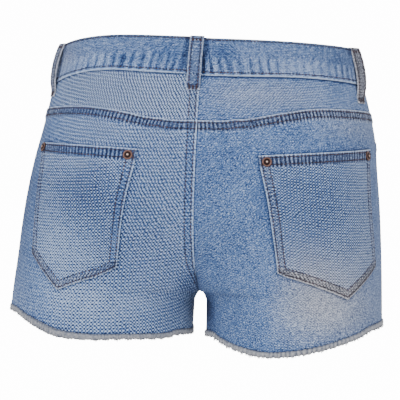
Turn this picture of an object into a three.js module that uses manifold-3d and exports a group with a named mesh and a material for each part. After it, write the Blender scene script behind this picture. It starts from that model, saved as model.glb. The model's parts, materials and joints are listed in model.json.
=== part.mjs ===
// Denim shorts with a frayed raw hem, hollow and filled out as when worn.
// Millimetres, +Z up, +X to the wearer's right, +Y to the wearer's front.
// The origin is the middle of the waistband's ring, at half the band's height.
import * as THREE from "three";
import { mergeVertices } from "three/addons/utils/BufferGeometryUtils.js";
import Module from "manifold-3d";

const wasm = await Module();
wasm.setup();

// Cloth and the gaps between pieces
const CLOTH = 1.2;
const HALF_GAP = 0.15;
const LAYER_GAP = 0.3;
const INNER_GAP = 0.8;
const BAND_OUT = 0.7;
const POCKET_GAP = 0.4;
const POCKET_HEM = { height: 11, extra: 0.7 };

// The body that the cloth stands round: half widths, depths, and where each side is deepest
const LEVELS = [
  { z: 30, left: 147, right: 147, back: 96, front: 94, backX: 8, frontX: 6 },
  { z: 18, left: 148.5, right: 148.5, back: 97.5, front: 95.5, backX: 10, frontX: 8 },
  { z: -11, left: 151, right: 152, back: 102, front: 99, backX: 16, frontX: 14 },
  { z: -38, left: 157, right: 159.5, back: 109, front: 102, backX: 26, frontX: 20 },
  { z: -70, left: 163.5, right: 167, back: 116.5, front: 105, backX: 38, frontX: 30 },
  { z: -103, left: 171, right: 170.5, back: 122.5, front: 105.5, backX: 50, frontX: 40 },
  { z: -135, left: 176.5, right: 174, back: 124.5, front: 104, backX: 64, frontX: 54 },
  { z: -167, left: 180.5, right: 176.5, back: 121, front: 101, backX: 78, frontX: 69 },
  { z: -199, left: 183.7, right: 178.5, back: 114, front: 98, backX: 88, frontX: 82 },
  { z: -231, left: 187.5, right: 180, back: 107, front: 95, backX: 93, frontX: 90 },
  { z: -258, left: 189.5, right: 181, back: 103, front: 93, backX: 95, frontX: 93 },
  { z: -290, left: 191, right: 182, back: 101, front: 92, backX: 95, frontX: 94 },
];
const ROUNDNESS = 2.25;
const CROTCH = { z: -226, y: -6 };
const RISE = { back: { top: -135, curve: 2.2, cleft: 5 }, front: { top: -115, curve: 2, cleft: 2.5 } };
const FRONT_START = 2 + 1e-6;
const CLEFT_TOP = -60;
const CLEFT_FULL = -140;
const LEG_BLEND = 60;
const LEG_GAP = { half: 6, over: 9, slope: 0.025 };

// Seams and edges by turn: 0 middle back or inseam, 2 side seam, 4 middle front or inseam
const BAND_EDGES = [
  { turn: 0, topLeft: 17.2, topRight: 17.2, bottomLeft: -19, bottomRight: -19 },
  { turn: 1, topLeft: 18, topRight: 16.8, bottomLeft: -17.6, bottomRight: -19 },
  { turn: 1.4, topLeft: 18, topRight: 16.6, bottomLeft: -16, bottomRight: -17.4 },
  { turn: 2, topLeft: 11.5, topRight: 14.5, bottomLeft: -24.5, bottomRight: -20.5 },
  { turn: 2.6, topLeft: 3, topRight: 4, bottomLeft: -33, bottomRight: -31.5 },
  { turn: 3, topLeft: -2, topRight: -2, bottomLeft: -37.5, bottomRight: -37.5 },
  { turn: 4, topLeft: -3, topRight: -3, bottomLeft: -38.5, bottomRight: -38.5 },
];
const YOKE_SEAM = [
  { turn: 0, left: -62, right: -62 },
  { turn: 1, left: -61, right: -60 },
  { turn: 1.2, left: -54.5, right: -52.5 },
  { turn: 1.39, left: -51, right: -46.5 },
  { turn: 1.76, left: -51, right: -44.5 },
  { turn: 2, left: -51.5, right: -44.5 },
];
const HEM = [
  { turn: 0, left: -270, right: -271 },
  { turn: 0.28, left: -269.5, right: -270.5 },
  { turn: 0.4, left: -272, right: -275 },
  { turn: 0.6, left: -272.6, right: -281 },
  { turn: 0.8, left: -273.2, right: -284 },
  { turn: 1, left: -274.4, right: -281.7 },
  { turn: 1.2, left: -273, right: -275 },
  { turn: 1.36, left: -266, right: -268.7 },
  { turn: 1.5, left: -259, right: -263.5 },
  { turn: 1.64, left: -253.5, right: -257.5 },
  { turn: 2, left: -252, right: -253.5 },
  { turn: 3, left: -250, right: -250 },
  { turn: 3.6, left: -260, right: -260 },
  { turn: 4, left: -270, right: -271 },
];
const FRAY_HEIGHT = 6.5;

// Back pockets: sides by height, as distances from the middle plane
const BACK_POCKETS = {
  left: {
    top: { inner: -91, outer: -86.5 },
    sides: [
      { z: -88, inner: 54.5, outer: 153.5 },
      { z: -104, inner: 56.5, outer: 153.5 },
      { z: -145, inner: 65, outer: 155 },
      { z: -191, inner: 70, outer: 156 },
      { z: -228, inner: 73, outer: 158 },
    ],
    corner: { inner: -203, outer: -194 },
    tip: { share: 0.6, z: -227 },
  },
  right: {
    top: { inner: -93.5, outer: -81.5 },
    sides: [
      { z: -82, inner: 57, outer: 161 },
      { z: -100, inner: 60, outer: 162 },
      { z: -135, inner: 69, outer: 164.5 },
      { z: -190, inner: 79, outer: 170.5 },
      { z: -226, inner: 83, outer: 171.5 },
    ],
    corner: { inner: -202, outer: -194 },
    tip: { share: 0.6, z: -225 },
  },
};
const RIVETS = [
  { name: "rivet_left_inner", x: -63, z: -97.3 },
  { name: "rivet_left_outer", x: -150.5, z: -91.5 },
  { name: "rivet_right_inner", x: 67, z: -99.3 },
  { name: "rivet_right_outer", x: 158, z: -88.5 },
];
// Belt loops: middle of the top and of the bottom, in x
const LOOPS = [
  { name: "belt_loop_middle_back", face: "back", topX: -4.5, bottomX: -6, above: 1.2, below: 15 },
  { name: "belt_loop_left_back", face: "back", topX: -142, bottomX: -149.5, above: 1, below: 14 },
  { name: "belt_loop_right_back", face: "back", topX: 143.5, bottomX: 151.5, above: 1, below: 14 },
  { name: "belt_loop_left_front", face: "front", topX: -84, bottomX: -87, above: 1, below: 12 },
  { name: "belt_loop_right_front", face: "front", topX: 84, bottomX: 87, above: 1, below: 12 },
];
// A loop stands off the waistband over the given share of its length, then lies on the yoke
const LOOP = { halfWidth: 6.6, thickness: 1.5, bow: 5.2, bowedShare: 0.9, offBand: [0.72, 0.88] };
const OPENING = { turn: 2.62, sideDrop: 52 };
const FACING_MARGIN = 14;
const FLY = { halfWidth: 19, bottom: -150 };
const BAND_OVERLAP = { past: 12, dipStart: 30, dipLength: 9, depth: 2.3 };
const BUTTON_RADIUS = 8.5;
const FRAY = { strandsPerLeg: 112, backing: 3.4, shortest: 3, longest: 5.6 };

const DENIM = 0x7d97bb;
const DENIM_DARK = 0x5f7699;
const FRAYED = 0xb9bcc0;
const COPPER = 0x9a6a50;

const group = new THREE.Group();

// A smooth curve through one column of a table
function along(rows, key, position, column) {
  const ordered = rows[0][key] <= rows[rows.length - 1][key] ? rows : [...rows].reverse();
  const last = ordered.length - 1;
  const x = Math.min(Math.max(position, ordered[0][key]), ordered[last][key]);
  let i = 0;
  while (i < last - 1 && x > ordered[i + 1][key]) {
    i += 1;
  }
  const slope = (k) => {
    const a = ordered[Math.max(k - 1, 0)];
    const b = ordered[Math.min(k + 1, last)];
    return (b[column] - a[column]) / (b[key] - a[key]);
  };
  const step = ordered[i + 1][key] - ordered[i][key];
  const t = (x - ordered[i][key]) / step;
  const rise = t * t * (3 - 2 * t);
  const startBend = t * (1 - t) * (1 - t) * step * slope(i);
  const endBend = t * t * (1 - t) * step * slope(i + 1);
  return ordered[i][column] * (1 - rise) + ordered[i + 1][column] * rise + startBend - endBend;
}

function smooth(t) {
  const c = Math.min(Math.max(t, 0), 1);
  return c * c * (3 - 2 * c);
}

function mix(a, b, t) {
  return a + (b - a) * t;
}

// The outer face of the cloth at a turn round one half and a height. Side is -1 left, 1 right.
function skin(side, turn, z) {
  const isBack = turn <= 2;
  const share = isBack ? turn : 4 - turn;
  const facing = isBack ? -1 : 1;
  const rise = isBack ? RISE.back : RISE.front;
  const half = along(LEVELS, "z", z, side < 0 ? "left" : "right");
  const depth = along(LEVELS, "z", z, isBack ? "back" : "front");
  const deepX = along(LEVELS, "z", z, isBack ? "backX" : "frontX");
  if (share > 1) {
    const angle = ((share - 1) * Math.PI) / 2;
    const power = 2 / ROUNDNESS;
    const x = deepX + (half - deepX) * Math.sin(angle) ** power;
    const y = HALF_GAP + (depth - HALF_GAP) * Math.max(Math.cos(angle), 0) ** power;
    return new THREE.Vector3(side * x, facing * y, z);
  }
  const below = Math.max(CROTCH.z - z, 0);
  const open = LEG_GAP.half * Math.sqrt(Math.min(below / LEG_GAP.over, 1)) + LEG_GAP.slope * below;
  const seamX = HALF_GAP + open;
  const cleft = rise.cleft * smooth((CLEFT_TOP - z) / (CLEFT_TOP - CLEFT_FULL));
  const drop = Math.min(Math.max((rise.top - z) / (rise.top - CROTCH.z), 0), 1);
  const seamEnd = CROTCH.y + facing * HALF_GAP;
  const seamTop = facing * (depth - cleft);
  const seamY = seamEnd + (seamTop - seamEnd) * (1 - drop ** rise.curve) ** (1 / rise.curve);
  const legness = smooth(1 - (z - CROTCH.z) / LEG_BLEND);
  const quarter = (share * Math.PI) / 2;
  const legX = seamX + (deepX - seamX) * (1 - Math.cos(quarter)) ** 0.9;
  const legY = seamY + (facing * depth - seamY) * Math.sin(quarter) ** 0.9;
  const seatX = seamX + (deepX - seamX) * share;
  const seatY = seamY + ((facing * depth - seamY) * (1 - Math.cos(share * Math.PI))) / 2;
  return new THREE.Vector3(side * mix(seatX, legX, legness), mix(seatY, legY, legness), z);
}

// The turn at which one half of the back or front reaches a distance from the middle plane
function turnAt(side, face, x, z) {
  let low = 0;
  let high = 2;
  for (let i = 0; i < 26; i += 1) {
    const middle = (low + high) / 2;
    const turn = face === "back" ? middle : 4 - middle;
    if (Math.abs(skin(side, turn, z).x) < Math.abs(x)) {
      low = middle;
    } else {
      high = middle;
    }
  }
  return face === "back" ? low : 4 - low;
}

// The normal of a surface place(u, v), turned away from the body's or the leg's middle
function normalAt(place, u, v, outward) {
  const e = 0.004;
  const across = place(Math.min(u + e, 1), v).sub(place(Math.max(u - e, 0), v));
  const down = place(u, Math.min(v + e, 1)).sub(place(u, Math.max(v - e, 0)));
  return across.cross(down).normalize().multiplyScalar(outward);
}

function outwardSign(place) {
  const middle = place(0.5, 0.5);
  const away = new THREE.Vector3(middle.x * 0.45, middle.y, 0);
  return normalAt(place, 0.5, 0.5, 1).dot(away) < 0 ? -1 : 1;
}

// A closed wall between two offsets of a surface. Lift gives the outer and the inner offset.
function wallGeometry(place, us, vs, lift, closed = false) {
  const outward = outwardSign(place);
  const points = [];
  const columns = us.length;
  const rows = vs.length;
  for (const layer of [0, 1]) {
    for (const v of vs) {
      for (const u of us) {
        const point = place(u, v);
        point.addScaledVector(normalAt(place, u, v, outward), lift(u, v)[layer]);
        points.push(point.x, point.y, point.z);
      }
    }
  }
  const id = (layer, i, j) => layer * rows * columns + j * columns + (i % columns);
  const faces = [];
  const quad = (a, b, c, d) => {
    if (outward < 0) {
      faces.push(a, d, b, b, d, c);
    } else {
      faces.push(a, b, d, b, c, d);
    }
  };
  const lastColumn = closed ? columns : columns - 1;
  for (let j = 0; j < rows - 1; j += 1) {
    for (let i = 0; i < lastColumn; i += 1) {
      quad(id(0, i, j), id(0, i + 1, j), id(0, i + 1, j + 1), id(0, i, j + 1));
      quad(id(1, i, j), id(1, i, j + 1), id(1, i + 1, j + 1), id(1, i + 1, j));
    }
  }
  for (let i = 0; i < lastColumn; i += 1) {
    quad(id(1, i, 0), id(1, i + 1, 0), id(0, i + 1, 0), id(0, i, 0));
    const j = rows - 1;
    quad(id(0, i, j), id(0, i + 1, j), id(1, i + 1, j), id(1, i, j));
  }
  if (!closed) {
    for (let j = 0; j < rows - 1; j += 1) {
      quad(id(1, 0, j), id(0, 0, j), id(0, 0, j + 1), id(1, 0, j + 1));
      const i = columns - 1;
      quad(id(0, i, j), id(1, i, j), id(1, i, j + 1), id(0, i, j + 1));
    }
  }
  return bufferOf(points, faces);
}

function bufferOf(points, faces) {
  const geometry = new THREE.BufferGeometry();
  geometry.setAttribute("position", new THREE.Float32BufferAttribute(points, 3));
  geometry.setIndex(faces);
  geometry.computeVertexNormals();
  return geometry;
}

function addPiece(name, geometry, colour, roughness = 0.9, metalness = 0) {
  const material = new THREE.MeshStandardMaterial({ color: colour, roughness, metalness });
  const mesh = new THREE.Mesh(geometry, material);
  mesh.name = name;
  group.add(mesh);
  return mesh;
}

function steps(count) {
  return Array.from({ length: count + 1 }, (_, i) => i / count);
}

const sideName = (side) => (side < 0 ? "left" : "right");
const capital = (side) => (side < 0 ? "Left" : "Right");
const bandTop = (side, turn) => along(BAND_EDGES, "turn", turn, `top${capital(side)}`);
const bandBottom = (side, turn) => along(BAND_EDGES, "turn", turn, `bottom${capital(side)}`);
const yokeSeam = (side, turn) => along(YOKE_SEAM, "turn", turn, sideName(side));
const hem = (side, turn) => along(HEM, "turn", turn, sideName(side));
const plain = () => [0, -CLOTH];

// Pieces that meet along a seam have their columns at the same turns
const BACK_TURNS = steps(12).map((t) => 2 * t);
const OPENING_SHARES = [0, 0.2, 0.4, 0.58, 0.74, 0.87, 0.95, 0.985, 1];
const OPENING_TURNS = OPENING_SHARES.map((t) => mix(FRONT_START, OPENING.turn, t));
const FRONT_TURNS = [...OPENING_TURNS, ...steps(9).slice(1).map((t) => mix(OPENING.turn, 4, t))];

// A leg panel runs from its top edge to the hem, with close rows where the seam turns under
const ROWS_ABOVE = 10;
const ROWS_BELOW = 3;
const CROTCH_SHARE = ROWS_ABOVE / (ROWS_ABOVE + ROWS_BELOW);

function panelHeight(top, side, turn, v) {
  if (v <= CROTCH_SHARE) {
    const t = v / CROTCH_SHARE;
    return mix(top, CROTCH.z, 1 - (1 - t) ** 1.7);
  }
  const t = (v - CROTCH_SHARE) / (1 - CROTCH_SHARE);
  return mix(CROTCH.z, hem(side, turn) + FRAY_HEIGHT + HALF_GAP, t ** 1.5);
}

function backPanel(side) {
  const place = (u, v) => {
    const turn = 2 * u;
    return skin(side, turn, panelHeight(yokeSeam(side, turn) - HALF_GAP, side, turn, v));
  };
  const geometry = wallGeometry(place, steps(12), steps(ROWS_ABOVE + ROWS_BELOW), plain);
  addPiece(`back_panel_${sideName(side)}`, geometry, DENIM);
}

function backYoke(side) {
  const place = (u, v) => {
    const turn = 2 * u;
    const top = bandBottom(side, turn) - HALF_GAP;
    return skin(side, turn, mix(top, yokeSeam(side, turn) + HALF_GAP, v));
  };
  addPiece(`back_yoke_${sideName(side)}`, wallGeometry(place, steps(12), steps(2), plain), DENIM);
}

// The front panel's top edge follows the waistband, then the scooped pocket opening to the side
function openingTop(side, turn) {
  const top = bandBottom(side, turn) - HALF_GAP;
  if (turn >= OPENING.turn) {
    return top;
  }
  const across = (OPENING.turn - turn) / (OPENING.turn - 2);
  const sideTop = bandBottom(side, 2) - OPENING.sideDrop;
  return mix(sideTop, top, 1 - Math.sqrt(1 - (1 - across) ** 2.4));
}

function frontPanel(side) {
  const us = FRONT_TURNS.map((turn) => (turn - FRONT_START) / (4 - FRONT_START));
  const place = (u, v) => {
    const turn = mix(FRONT_START, 4, u);
    return skin(side, turn, panelHeight(openingTop(side, turn), side, turn, v));
  };
  const geometry = wallGeometry(place, us, steps(ROWS_ABOVE + ROWS_BELOW), plain);
  addPiece(`front_panel_${sideName(side)}`, geometry, DENIM);
}

// The cloth that shows inside the front pocket's opening lies behind the panel
function pocketFacing(side) {
  const turns = FRONT_TURNS.slice(0, OPENING_TURNS.length + 1);
  const end = turns[turns.length - 1];
  const place = (u, v) => {
    const turn = mix(FRONT_START, end, u);
    const top = bandBottom(side, turn) - HALF_GAP;
    const bottom = bandBottom(side, 2) - OPENING.sideDrop - FACING_MARGIN;
    return skin(side, turn, mix(top, bottom, v));
  };
  const outer = -CLOTH - INNER_GAP;
  const us = turns.map((turn) => (turn - FRONT_START) / (end - FRONT_START));
  const geometry = wallGeometry(place, us, steps(4), () => [outer, outer - CLOTH]);
  addPiece(`pocket_facing_${sideName(side)}`, geometry, DENIM_DARK);
}

// The waistband goes once round; its right end runs under the left end at the middle front
function waistband() {
  const turnPast = 4 - turnAt(1, "front", BAND_OVERLAP.past, bandTop(1, 4));
  const reach = 4 + turnPast;
  const unwrap = (u) => {
    const signed = mix(-reach, reach, u);
    const side = signed < -4 || (signed >= 0 && signed <= 4) ? 1 : -1;
    return { side, turn: Math.abs(signed) > 4 ? 8 - Math.abs(signed) : Math.abs(signed) };
  };
  const place = (u, v) => {
    const { side, turn } = unwrap(u);
    return skin(side, turn, mix(bandTop(side, turn), bandBottom(side, turn) + HALF_GAP, v));
  };
  const lift = (u, v) => {
    const point = place(u, v);
    const under = u > 0.5 && point.y > 0;
    const dip = under
      ? BAND_OVERLAP.depth * smooth((BAND_OVERLAP.dipStart - point.x) / BAND_OVERLAP.dipLength)
      : 0;
    return [BAND_OUT - dip, -CLOTH - dip];
  };
  const half = [...BACK_TURNS, ...FRONT_TURNS.slice(1), mix(4, reach, 0.5), reach];
  const signed = [...half.slice(1).map((turn) => -turn).reverse(), ...half];
  const us = signed.map((turn) => (turn + reach) / (2 * reach));
  addPiece("waistband", wallGeometry(place, us, steps(2), lift), DENIM);
}

// A back pocket is a patch made from the panel's points: straight top, bent sides, pointed bottom
function backPocket(side) {
  const cut = BACK_POCKETS[sideName(side)];
  const bottom = (u) => {
    const tip = cut.tip;
    return u < tip.share
      ? mix(cut.corner.inner, tip.z, u / tip.share)
      : mix(tip.z, cut.corner.outer, (u - tip.share) / (1 - tip.share));
  };
  const heightAt = (u, v) => mix(mix(cut.top.inner, cut.top.outer, u), bottom(u), v);
  const place = (u, v) => {
    const z = heightAt(u, v);
    const inner = turnAt(side, "back", along(cut.sides, "z", z, "inner"), z);
    const outer = turnAt(side, "back", along(cut.sides, "z", z, "outer"), z);
    return skin(side, mix(inner, outer, u), z);
  };
  const lift = (u, v) => {
    const fromTop = mix(cut.top.inner, cut.top.outer, u) - heightAt(u, v);
    const hemmed = fromTop < POCKET_HEM.height ? POCKET_HEM.extra : 0;
    return [POCKET_GAP + CLOTH + hemmed, POCKET_GAP];
  };
  const beyondTip = steps(4).slice(1).map((t) => mix(cut.tip.share, 1, t));
  const us = [...steps(7).map((t) => t * cut.tip.share), ...beyondTip];
  const vs = [0, 0.085, 0.1, ...steps(9).slice(1).map((t) => mix(0.1, 1, t))];
  addPiece(`back_pocket_${sideName(side)}`, wallGeometry(place, us, vs, lift), DENIM);
}

// A point and its normal on the back or front, at a distance from the middle plane
function spot(face, x, z) {
  const side = x < 0 ? -1 : 1;
  const place = (u, v) => {
    const height = z + 4 - 8 * v;
    return skin(side, turnAt(side, face, Math.abs(x) + (u - 0.5) * 6, height), height);
  };
  return { point: place(0.5, 0.5), normal: normalAt(place, 0.5, 0.5, outwardSign(place)) };
}

// A belt loop: a folded strip held at both ends and bowed off the waistband between them
function beltLoop({ name, face, topX, bottomX, above, below }) {
  const sideOf = (x) => (x < 0 ? -1 : 1);
  const place = (u, v) => {
    const middle = mix(topX, bottomX, v);
    const turnMiddle = turnAt(sideOf(middle), face, middle, 0);
    const top = bandTop(sideOf(topX), turnMiddle) + above;
    const z = mix(top, bandBottom(sideOf(bottomX), turnMiddle) - below, v);
    const { point, normal } = spot(face, middle, z);
    const across = new THREE.Vector3(-normal.y, normal.x, 0).normalize();
    return point.addScaledVector(across, (u - 0.5) * 2 * LOOP.halfWidth);
  };
  const lift = (u, v) => {
    const [leaves, lands] = LOOP.offBand;
    const rest = mix(BAND_OUT + LAYER_GAP, LAYER_GAP, smooth((v - leaves) / (lands - leaves)));
    const raised = LOOP.bow * Math.sin(Math.PI * Math.min(v / LOOP.bowedShare, 1)) ** 0.8;
    return [rest + raised + LOOP.thickness, rest + raised];
  };
  const vs = [0, 0.06, 0.16, 0.28, 0.42, 0.56, 0.7, 0.82, 0.92, 1];
  addPiece(name, wallGeometry(place, [0, 0.5, 1], vs, lift), DENIM);
}

// The fly's facing lies inside, behind the meeting edges of the front panels
function flyFacing() {
  const place = (u, v) => {
    const side = u < 0.5 ? -1 : 1;
    const x = Math.abs(u - 0.5) * 2 * FLY.halfWidth;
    const z = mix(bandBottom(1, 4) - 1, FLY.bottom, v);
    return skin(side, turnAt(side, "front", x, z), z);
  };
  const outer = -CLOTH - INNER_GAP;
  const lift = () => [outer, outer - CLOTH];
  addPiece("fly_facing", wallGeometry(place, steps(4), steps(5), lift), DENIM_DARK);
}

// A turned metal part: its profile is revolved, and its base stands on the cloth
function turned(name, profile, { point, normal }, lift, colour) {
  const outline = profile.map(([radius, height]) => new THREE.Vector2(radius, height));
  const mesh = addPiece(name, new THREE.LatheGeometry(outline, 20), colour, 0.4, 0.9);
  mesh.quaternion.setFromUnitVectors(new THREE.Vector3(0, 1, 0), normal);
  mesh.position.copy(point).addScaledVector(normal, lift);
}

function rivets() {
  const profile = [[0, 0], [4.4, 0], [4.6, 0.5], [4.1, 1.1], [3, 0.9], [1.9, 1.2], [1.4, 2], [0, 2.2]];
  const lift = POCKET_GAP + CLOTH + POCKET_HEM.extra + LAYER_GAP;
  for (const { name, x, z } of RIVETS) {
    turned(name, profile, spot("back", x, z), lift, COPPER);
  }
}

function waistButton() {
  const r = BUTTON_RADIUS;
  const shank = [[0, 0], [3, 0], [3, 1.2]];
  const cap = [[r - 0.8, 1.4], [r, 2.2], [r - 0.6, 3], [r - 2, 2.7], [0, 3.2]];
  const z = (bandTop(1, 4) + bandBottom(1, 4)) / 2;
  turned("waist_button", [...shank, ...cap], spot("front", 1, z), BAND_OUT + LAYER_GAP, COPPER);
}

function solidOf(geometry) {
  const bare = geometry.clone();
  bare.deleteAttribute("normal");
  bare.deleteAttribute("uv");
  const merged = mergeVertices(bare, 1e-4);
  const vertProperties = new Float32Array(merged.attributes.position.array);
  const triVerts = new Uint32Array(merged.index.array);
  return new wasm.Manifold(new wasm.Mesh({ numProp: 3, vertProperties, triVerts }));
}

// The frayed hem: a narrow strip round the leg, with three-sided strands rooted in it
function frayedHem(side) {
  const upper = (turn) => hem(side, turn) + FRAY_HEIGHT - HALF_GAP;
  const wrapped = (u) => 4 * (u - Math.floor(u));
  const place = (u, v) => {
    const turn = wrapped(u);
    return skin(side, turn, upper(turn) - FRAY.backing * v);
  };
  const lift = (u, v) => [0.2 + 0.9 * v, -CLOTH + 0.4 * v];
  const ring = [...BACK_TURNS, ...FRONT_TURNS.slice(1, -1)].map((turn) => turn / 4);
  let solid = solidOf(wallGeometry(place, ring, [0, 1], lift, true));
  const outward = outwardSign(place);
  for (let i = 0; i < FRAY.strandsPerLeg; i += 1) {
    const uneven = Math.sin(i * 12.9898 + side * 4.1) * 43758.5453;
    const chance = uneven - Math.floor(uneven);
    const u = 0.012 + (0.976 * (i + 0.5 + 0.5 * (chance - 0.5))) / FRAY.strandsPerLeg;
    const root = place(u, 0.62).addScaledVector(normalAt(place, u, 0.62, outward), -0.1);
    const across = place(u + 0.002, 0.62).sub(place(u - 0.002, 0.62)).normalize();
    const normal = normalAt(place, u, 0.62, outward);
    const length = mix(FRAY.shortest, FRAY.longest, chance);
    const tip = root.clone().addScaledVector(across, (chance - 0.5) * 2.4);
    tip.add(new THREE.Vector3(0, 0, -length)).addScaledVector(normal, 0.9 * chance);
    const corners = [0, 1, 2].map((k) => {
      const angle = (k * 2 * Math.PI) / 3 + chance;
      const corner = root.clone().addScaledVector(across, 0.85 * Math.cos(angle));
      return corner.addScaledVector(normal, 0.42 * Math.sin(angle));
    });
    const points = [...corners, tip].flatMap((p) => [p.x, p.y, p.z]);
    const [a, b, c] = corners;
    const turnsRight = b.clone().sub(a).cross(c.clone().sub(a)).z > 0;
    const faces = turnsRight
      ? [0, 1, 2, 0, 3, 1, 1, 3, 2, 2, 3, 0]
      : [0, 2, 1, 0, 1, 3, 1, 2, 3, 2, 0, 3];
    solid = solid.add(solidOf(bufferOf(points, faces)));
  }
  const mesh = solid.getMesh();
  addPiece(`frayed_hem_${sideName(side)}`, bufferOf(mesh.vertProperties, [...mesh.triVerts]), FRAYED);
}

waistband();
for (const side of [-1, 1]) {
  backYoke(side);
  backPanel(side);
  frontPanel(side);
  pocketFacing(side);
  backPocket(side);
  frayedHem(side);
}
flyFacing();
LOOPS.forEach(beltLoop);
rivets();
waistButton();

export default group;
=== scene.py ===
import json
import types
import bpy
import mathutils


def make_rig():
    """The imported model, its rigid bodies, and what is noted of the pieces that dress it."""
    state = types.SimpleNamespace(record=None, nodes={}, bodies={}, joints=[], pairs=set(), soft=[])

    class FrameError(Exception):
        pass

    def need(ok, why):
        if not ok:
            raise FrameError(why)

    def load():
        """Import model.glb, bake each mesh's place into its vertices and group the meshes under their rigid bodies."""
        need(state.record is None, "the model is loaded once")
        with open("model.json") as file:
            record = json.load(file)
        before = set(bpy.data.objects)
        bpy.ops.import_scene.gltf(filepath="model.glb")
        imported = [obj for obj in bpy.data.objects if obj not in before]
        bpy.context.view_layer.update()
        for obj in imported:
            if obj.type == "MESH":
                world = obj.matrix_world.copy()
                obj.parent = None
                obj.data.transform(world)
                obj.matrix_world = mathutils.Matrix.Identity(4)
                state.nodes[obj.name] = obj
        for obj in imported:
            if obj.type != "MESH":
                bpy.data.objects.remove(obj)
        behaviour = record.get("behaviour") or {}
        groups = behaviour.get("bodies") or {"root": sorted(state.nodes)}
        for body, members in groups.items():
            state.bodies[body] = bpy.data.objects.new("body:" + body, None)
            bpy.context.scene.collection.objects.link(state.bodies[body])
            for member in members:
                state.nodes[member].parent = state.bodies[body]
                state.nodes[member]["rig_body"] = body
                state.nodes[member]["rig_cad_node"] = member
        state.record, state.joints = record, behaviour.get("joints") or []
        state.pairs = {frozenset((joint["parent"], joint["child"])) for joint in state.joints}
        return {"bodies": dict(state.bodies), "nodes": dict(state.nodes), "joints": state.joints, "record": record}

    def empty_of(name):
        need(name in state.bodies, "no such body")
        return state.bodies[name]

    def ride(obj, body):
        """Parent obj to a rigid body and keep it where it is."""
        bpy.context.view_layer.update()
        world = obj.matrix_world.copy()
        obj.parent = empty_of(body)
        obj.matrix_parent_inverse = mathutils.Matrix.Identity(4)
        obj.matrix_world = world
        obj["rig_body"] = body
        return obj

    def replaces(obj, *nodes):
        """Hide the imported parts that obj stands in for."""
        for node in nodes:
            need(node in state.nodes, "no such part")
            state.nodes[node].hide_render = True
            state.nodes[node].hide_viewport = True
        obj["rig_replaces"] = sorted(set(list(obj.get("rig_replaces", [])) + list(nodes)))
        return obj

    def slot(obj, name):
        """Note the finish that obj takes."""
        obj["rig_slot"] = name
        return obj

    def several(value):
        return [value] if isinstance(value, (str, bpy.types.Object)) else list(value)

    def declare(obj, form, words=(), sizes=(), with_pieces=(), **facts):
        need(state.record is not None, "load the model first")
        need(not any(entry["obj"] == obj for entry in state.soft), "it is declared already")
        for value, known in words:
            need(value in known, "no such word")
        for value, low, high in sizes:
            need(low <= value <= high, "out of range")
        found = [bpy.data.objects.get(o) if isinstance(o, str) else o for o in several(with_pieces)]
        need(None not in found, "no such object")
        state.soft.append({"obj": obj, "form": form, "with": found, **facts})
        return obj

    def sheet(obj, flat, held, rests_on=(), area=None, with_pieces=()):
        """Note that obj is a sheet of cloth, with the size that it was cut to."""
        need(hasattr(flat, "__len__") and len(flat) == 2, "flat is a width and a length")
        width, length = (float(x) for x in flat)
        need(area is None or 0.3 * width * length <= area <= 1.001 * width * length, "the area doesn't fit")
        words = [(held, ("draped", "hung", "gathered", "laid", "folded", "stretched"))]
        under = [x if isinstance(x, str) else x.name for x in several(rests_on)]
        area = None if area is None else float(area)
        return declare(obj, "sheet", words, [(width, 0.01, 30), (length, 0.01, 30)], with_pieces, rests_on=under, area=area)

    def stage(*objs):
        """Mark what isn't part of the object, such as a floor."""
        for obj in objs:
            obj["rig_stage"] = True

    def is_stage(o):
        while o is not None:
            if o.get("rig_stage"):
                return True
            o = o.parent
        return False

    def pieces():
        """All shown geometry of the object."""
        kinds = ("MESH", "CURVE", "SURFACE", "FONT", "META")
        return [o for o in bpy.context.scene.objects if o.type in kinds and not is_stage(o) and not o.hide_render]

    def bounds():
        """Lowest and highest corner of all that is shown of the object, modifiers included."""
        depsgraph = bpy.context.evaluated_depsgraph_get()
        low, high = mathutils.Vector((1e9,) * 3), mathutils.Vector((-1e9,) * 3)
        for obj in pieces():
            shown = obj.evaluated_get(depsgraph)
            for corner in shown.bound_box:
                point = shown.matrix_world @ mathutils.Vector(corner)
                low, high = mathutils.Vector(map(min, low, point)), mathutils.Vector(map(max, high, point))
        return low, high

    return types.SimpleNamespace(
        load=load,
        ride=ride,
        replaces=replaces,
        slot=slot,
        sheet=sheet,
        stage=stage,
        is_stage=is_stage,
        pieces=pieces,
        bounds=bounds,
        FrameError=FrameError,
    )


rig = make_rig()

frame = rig.load()

import math

import bpy
import numpy as np
from mathutils import Matrix, Vector
from mathutils.kdtree import KDTree

solid_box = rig.bounds()
MM = 0.001

# Camera, backdrop and light
# The shorts are seen from behind, a little from their right, level with their middle.
# They stand in front of a plain white sweep, lit softly from all round.
VIEW_TURN = math.radians(5.2)
VIEW_ROLL = math.radians(-2.2)
VIEW_DISTANCE = 1.8
VIEW_MIDDLE_Z = -0.1365
VIEW_MIDDLE_LEFT = 0.005
SENSOR = 36.0
FRAME_WIDTH_AT_MIDDLE = 0.4

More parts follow.
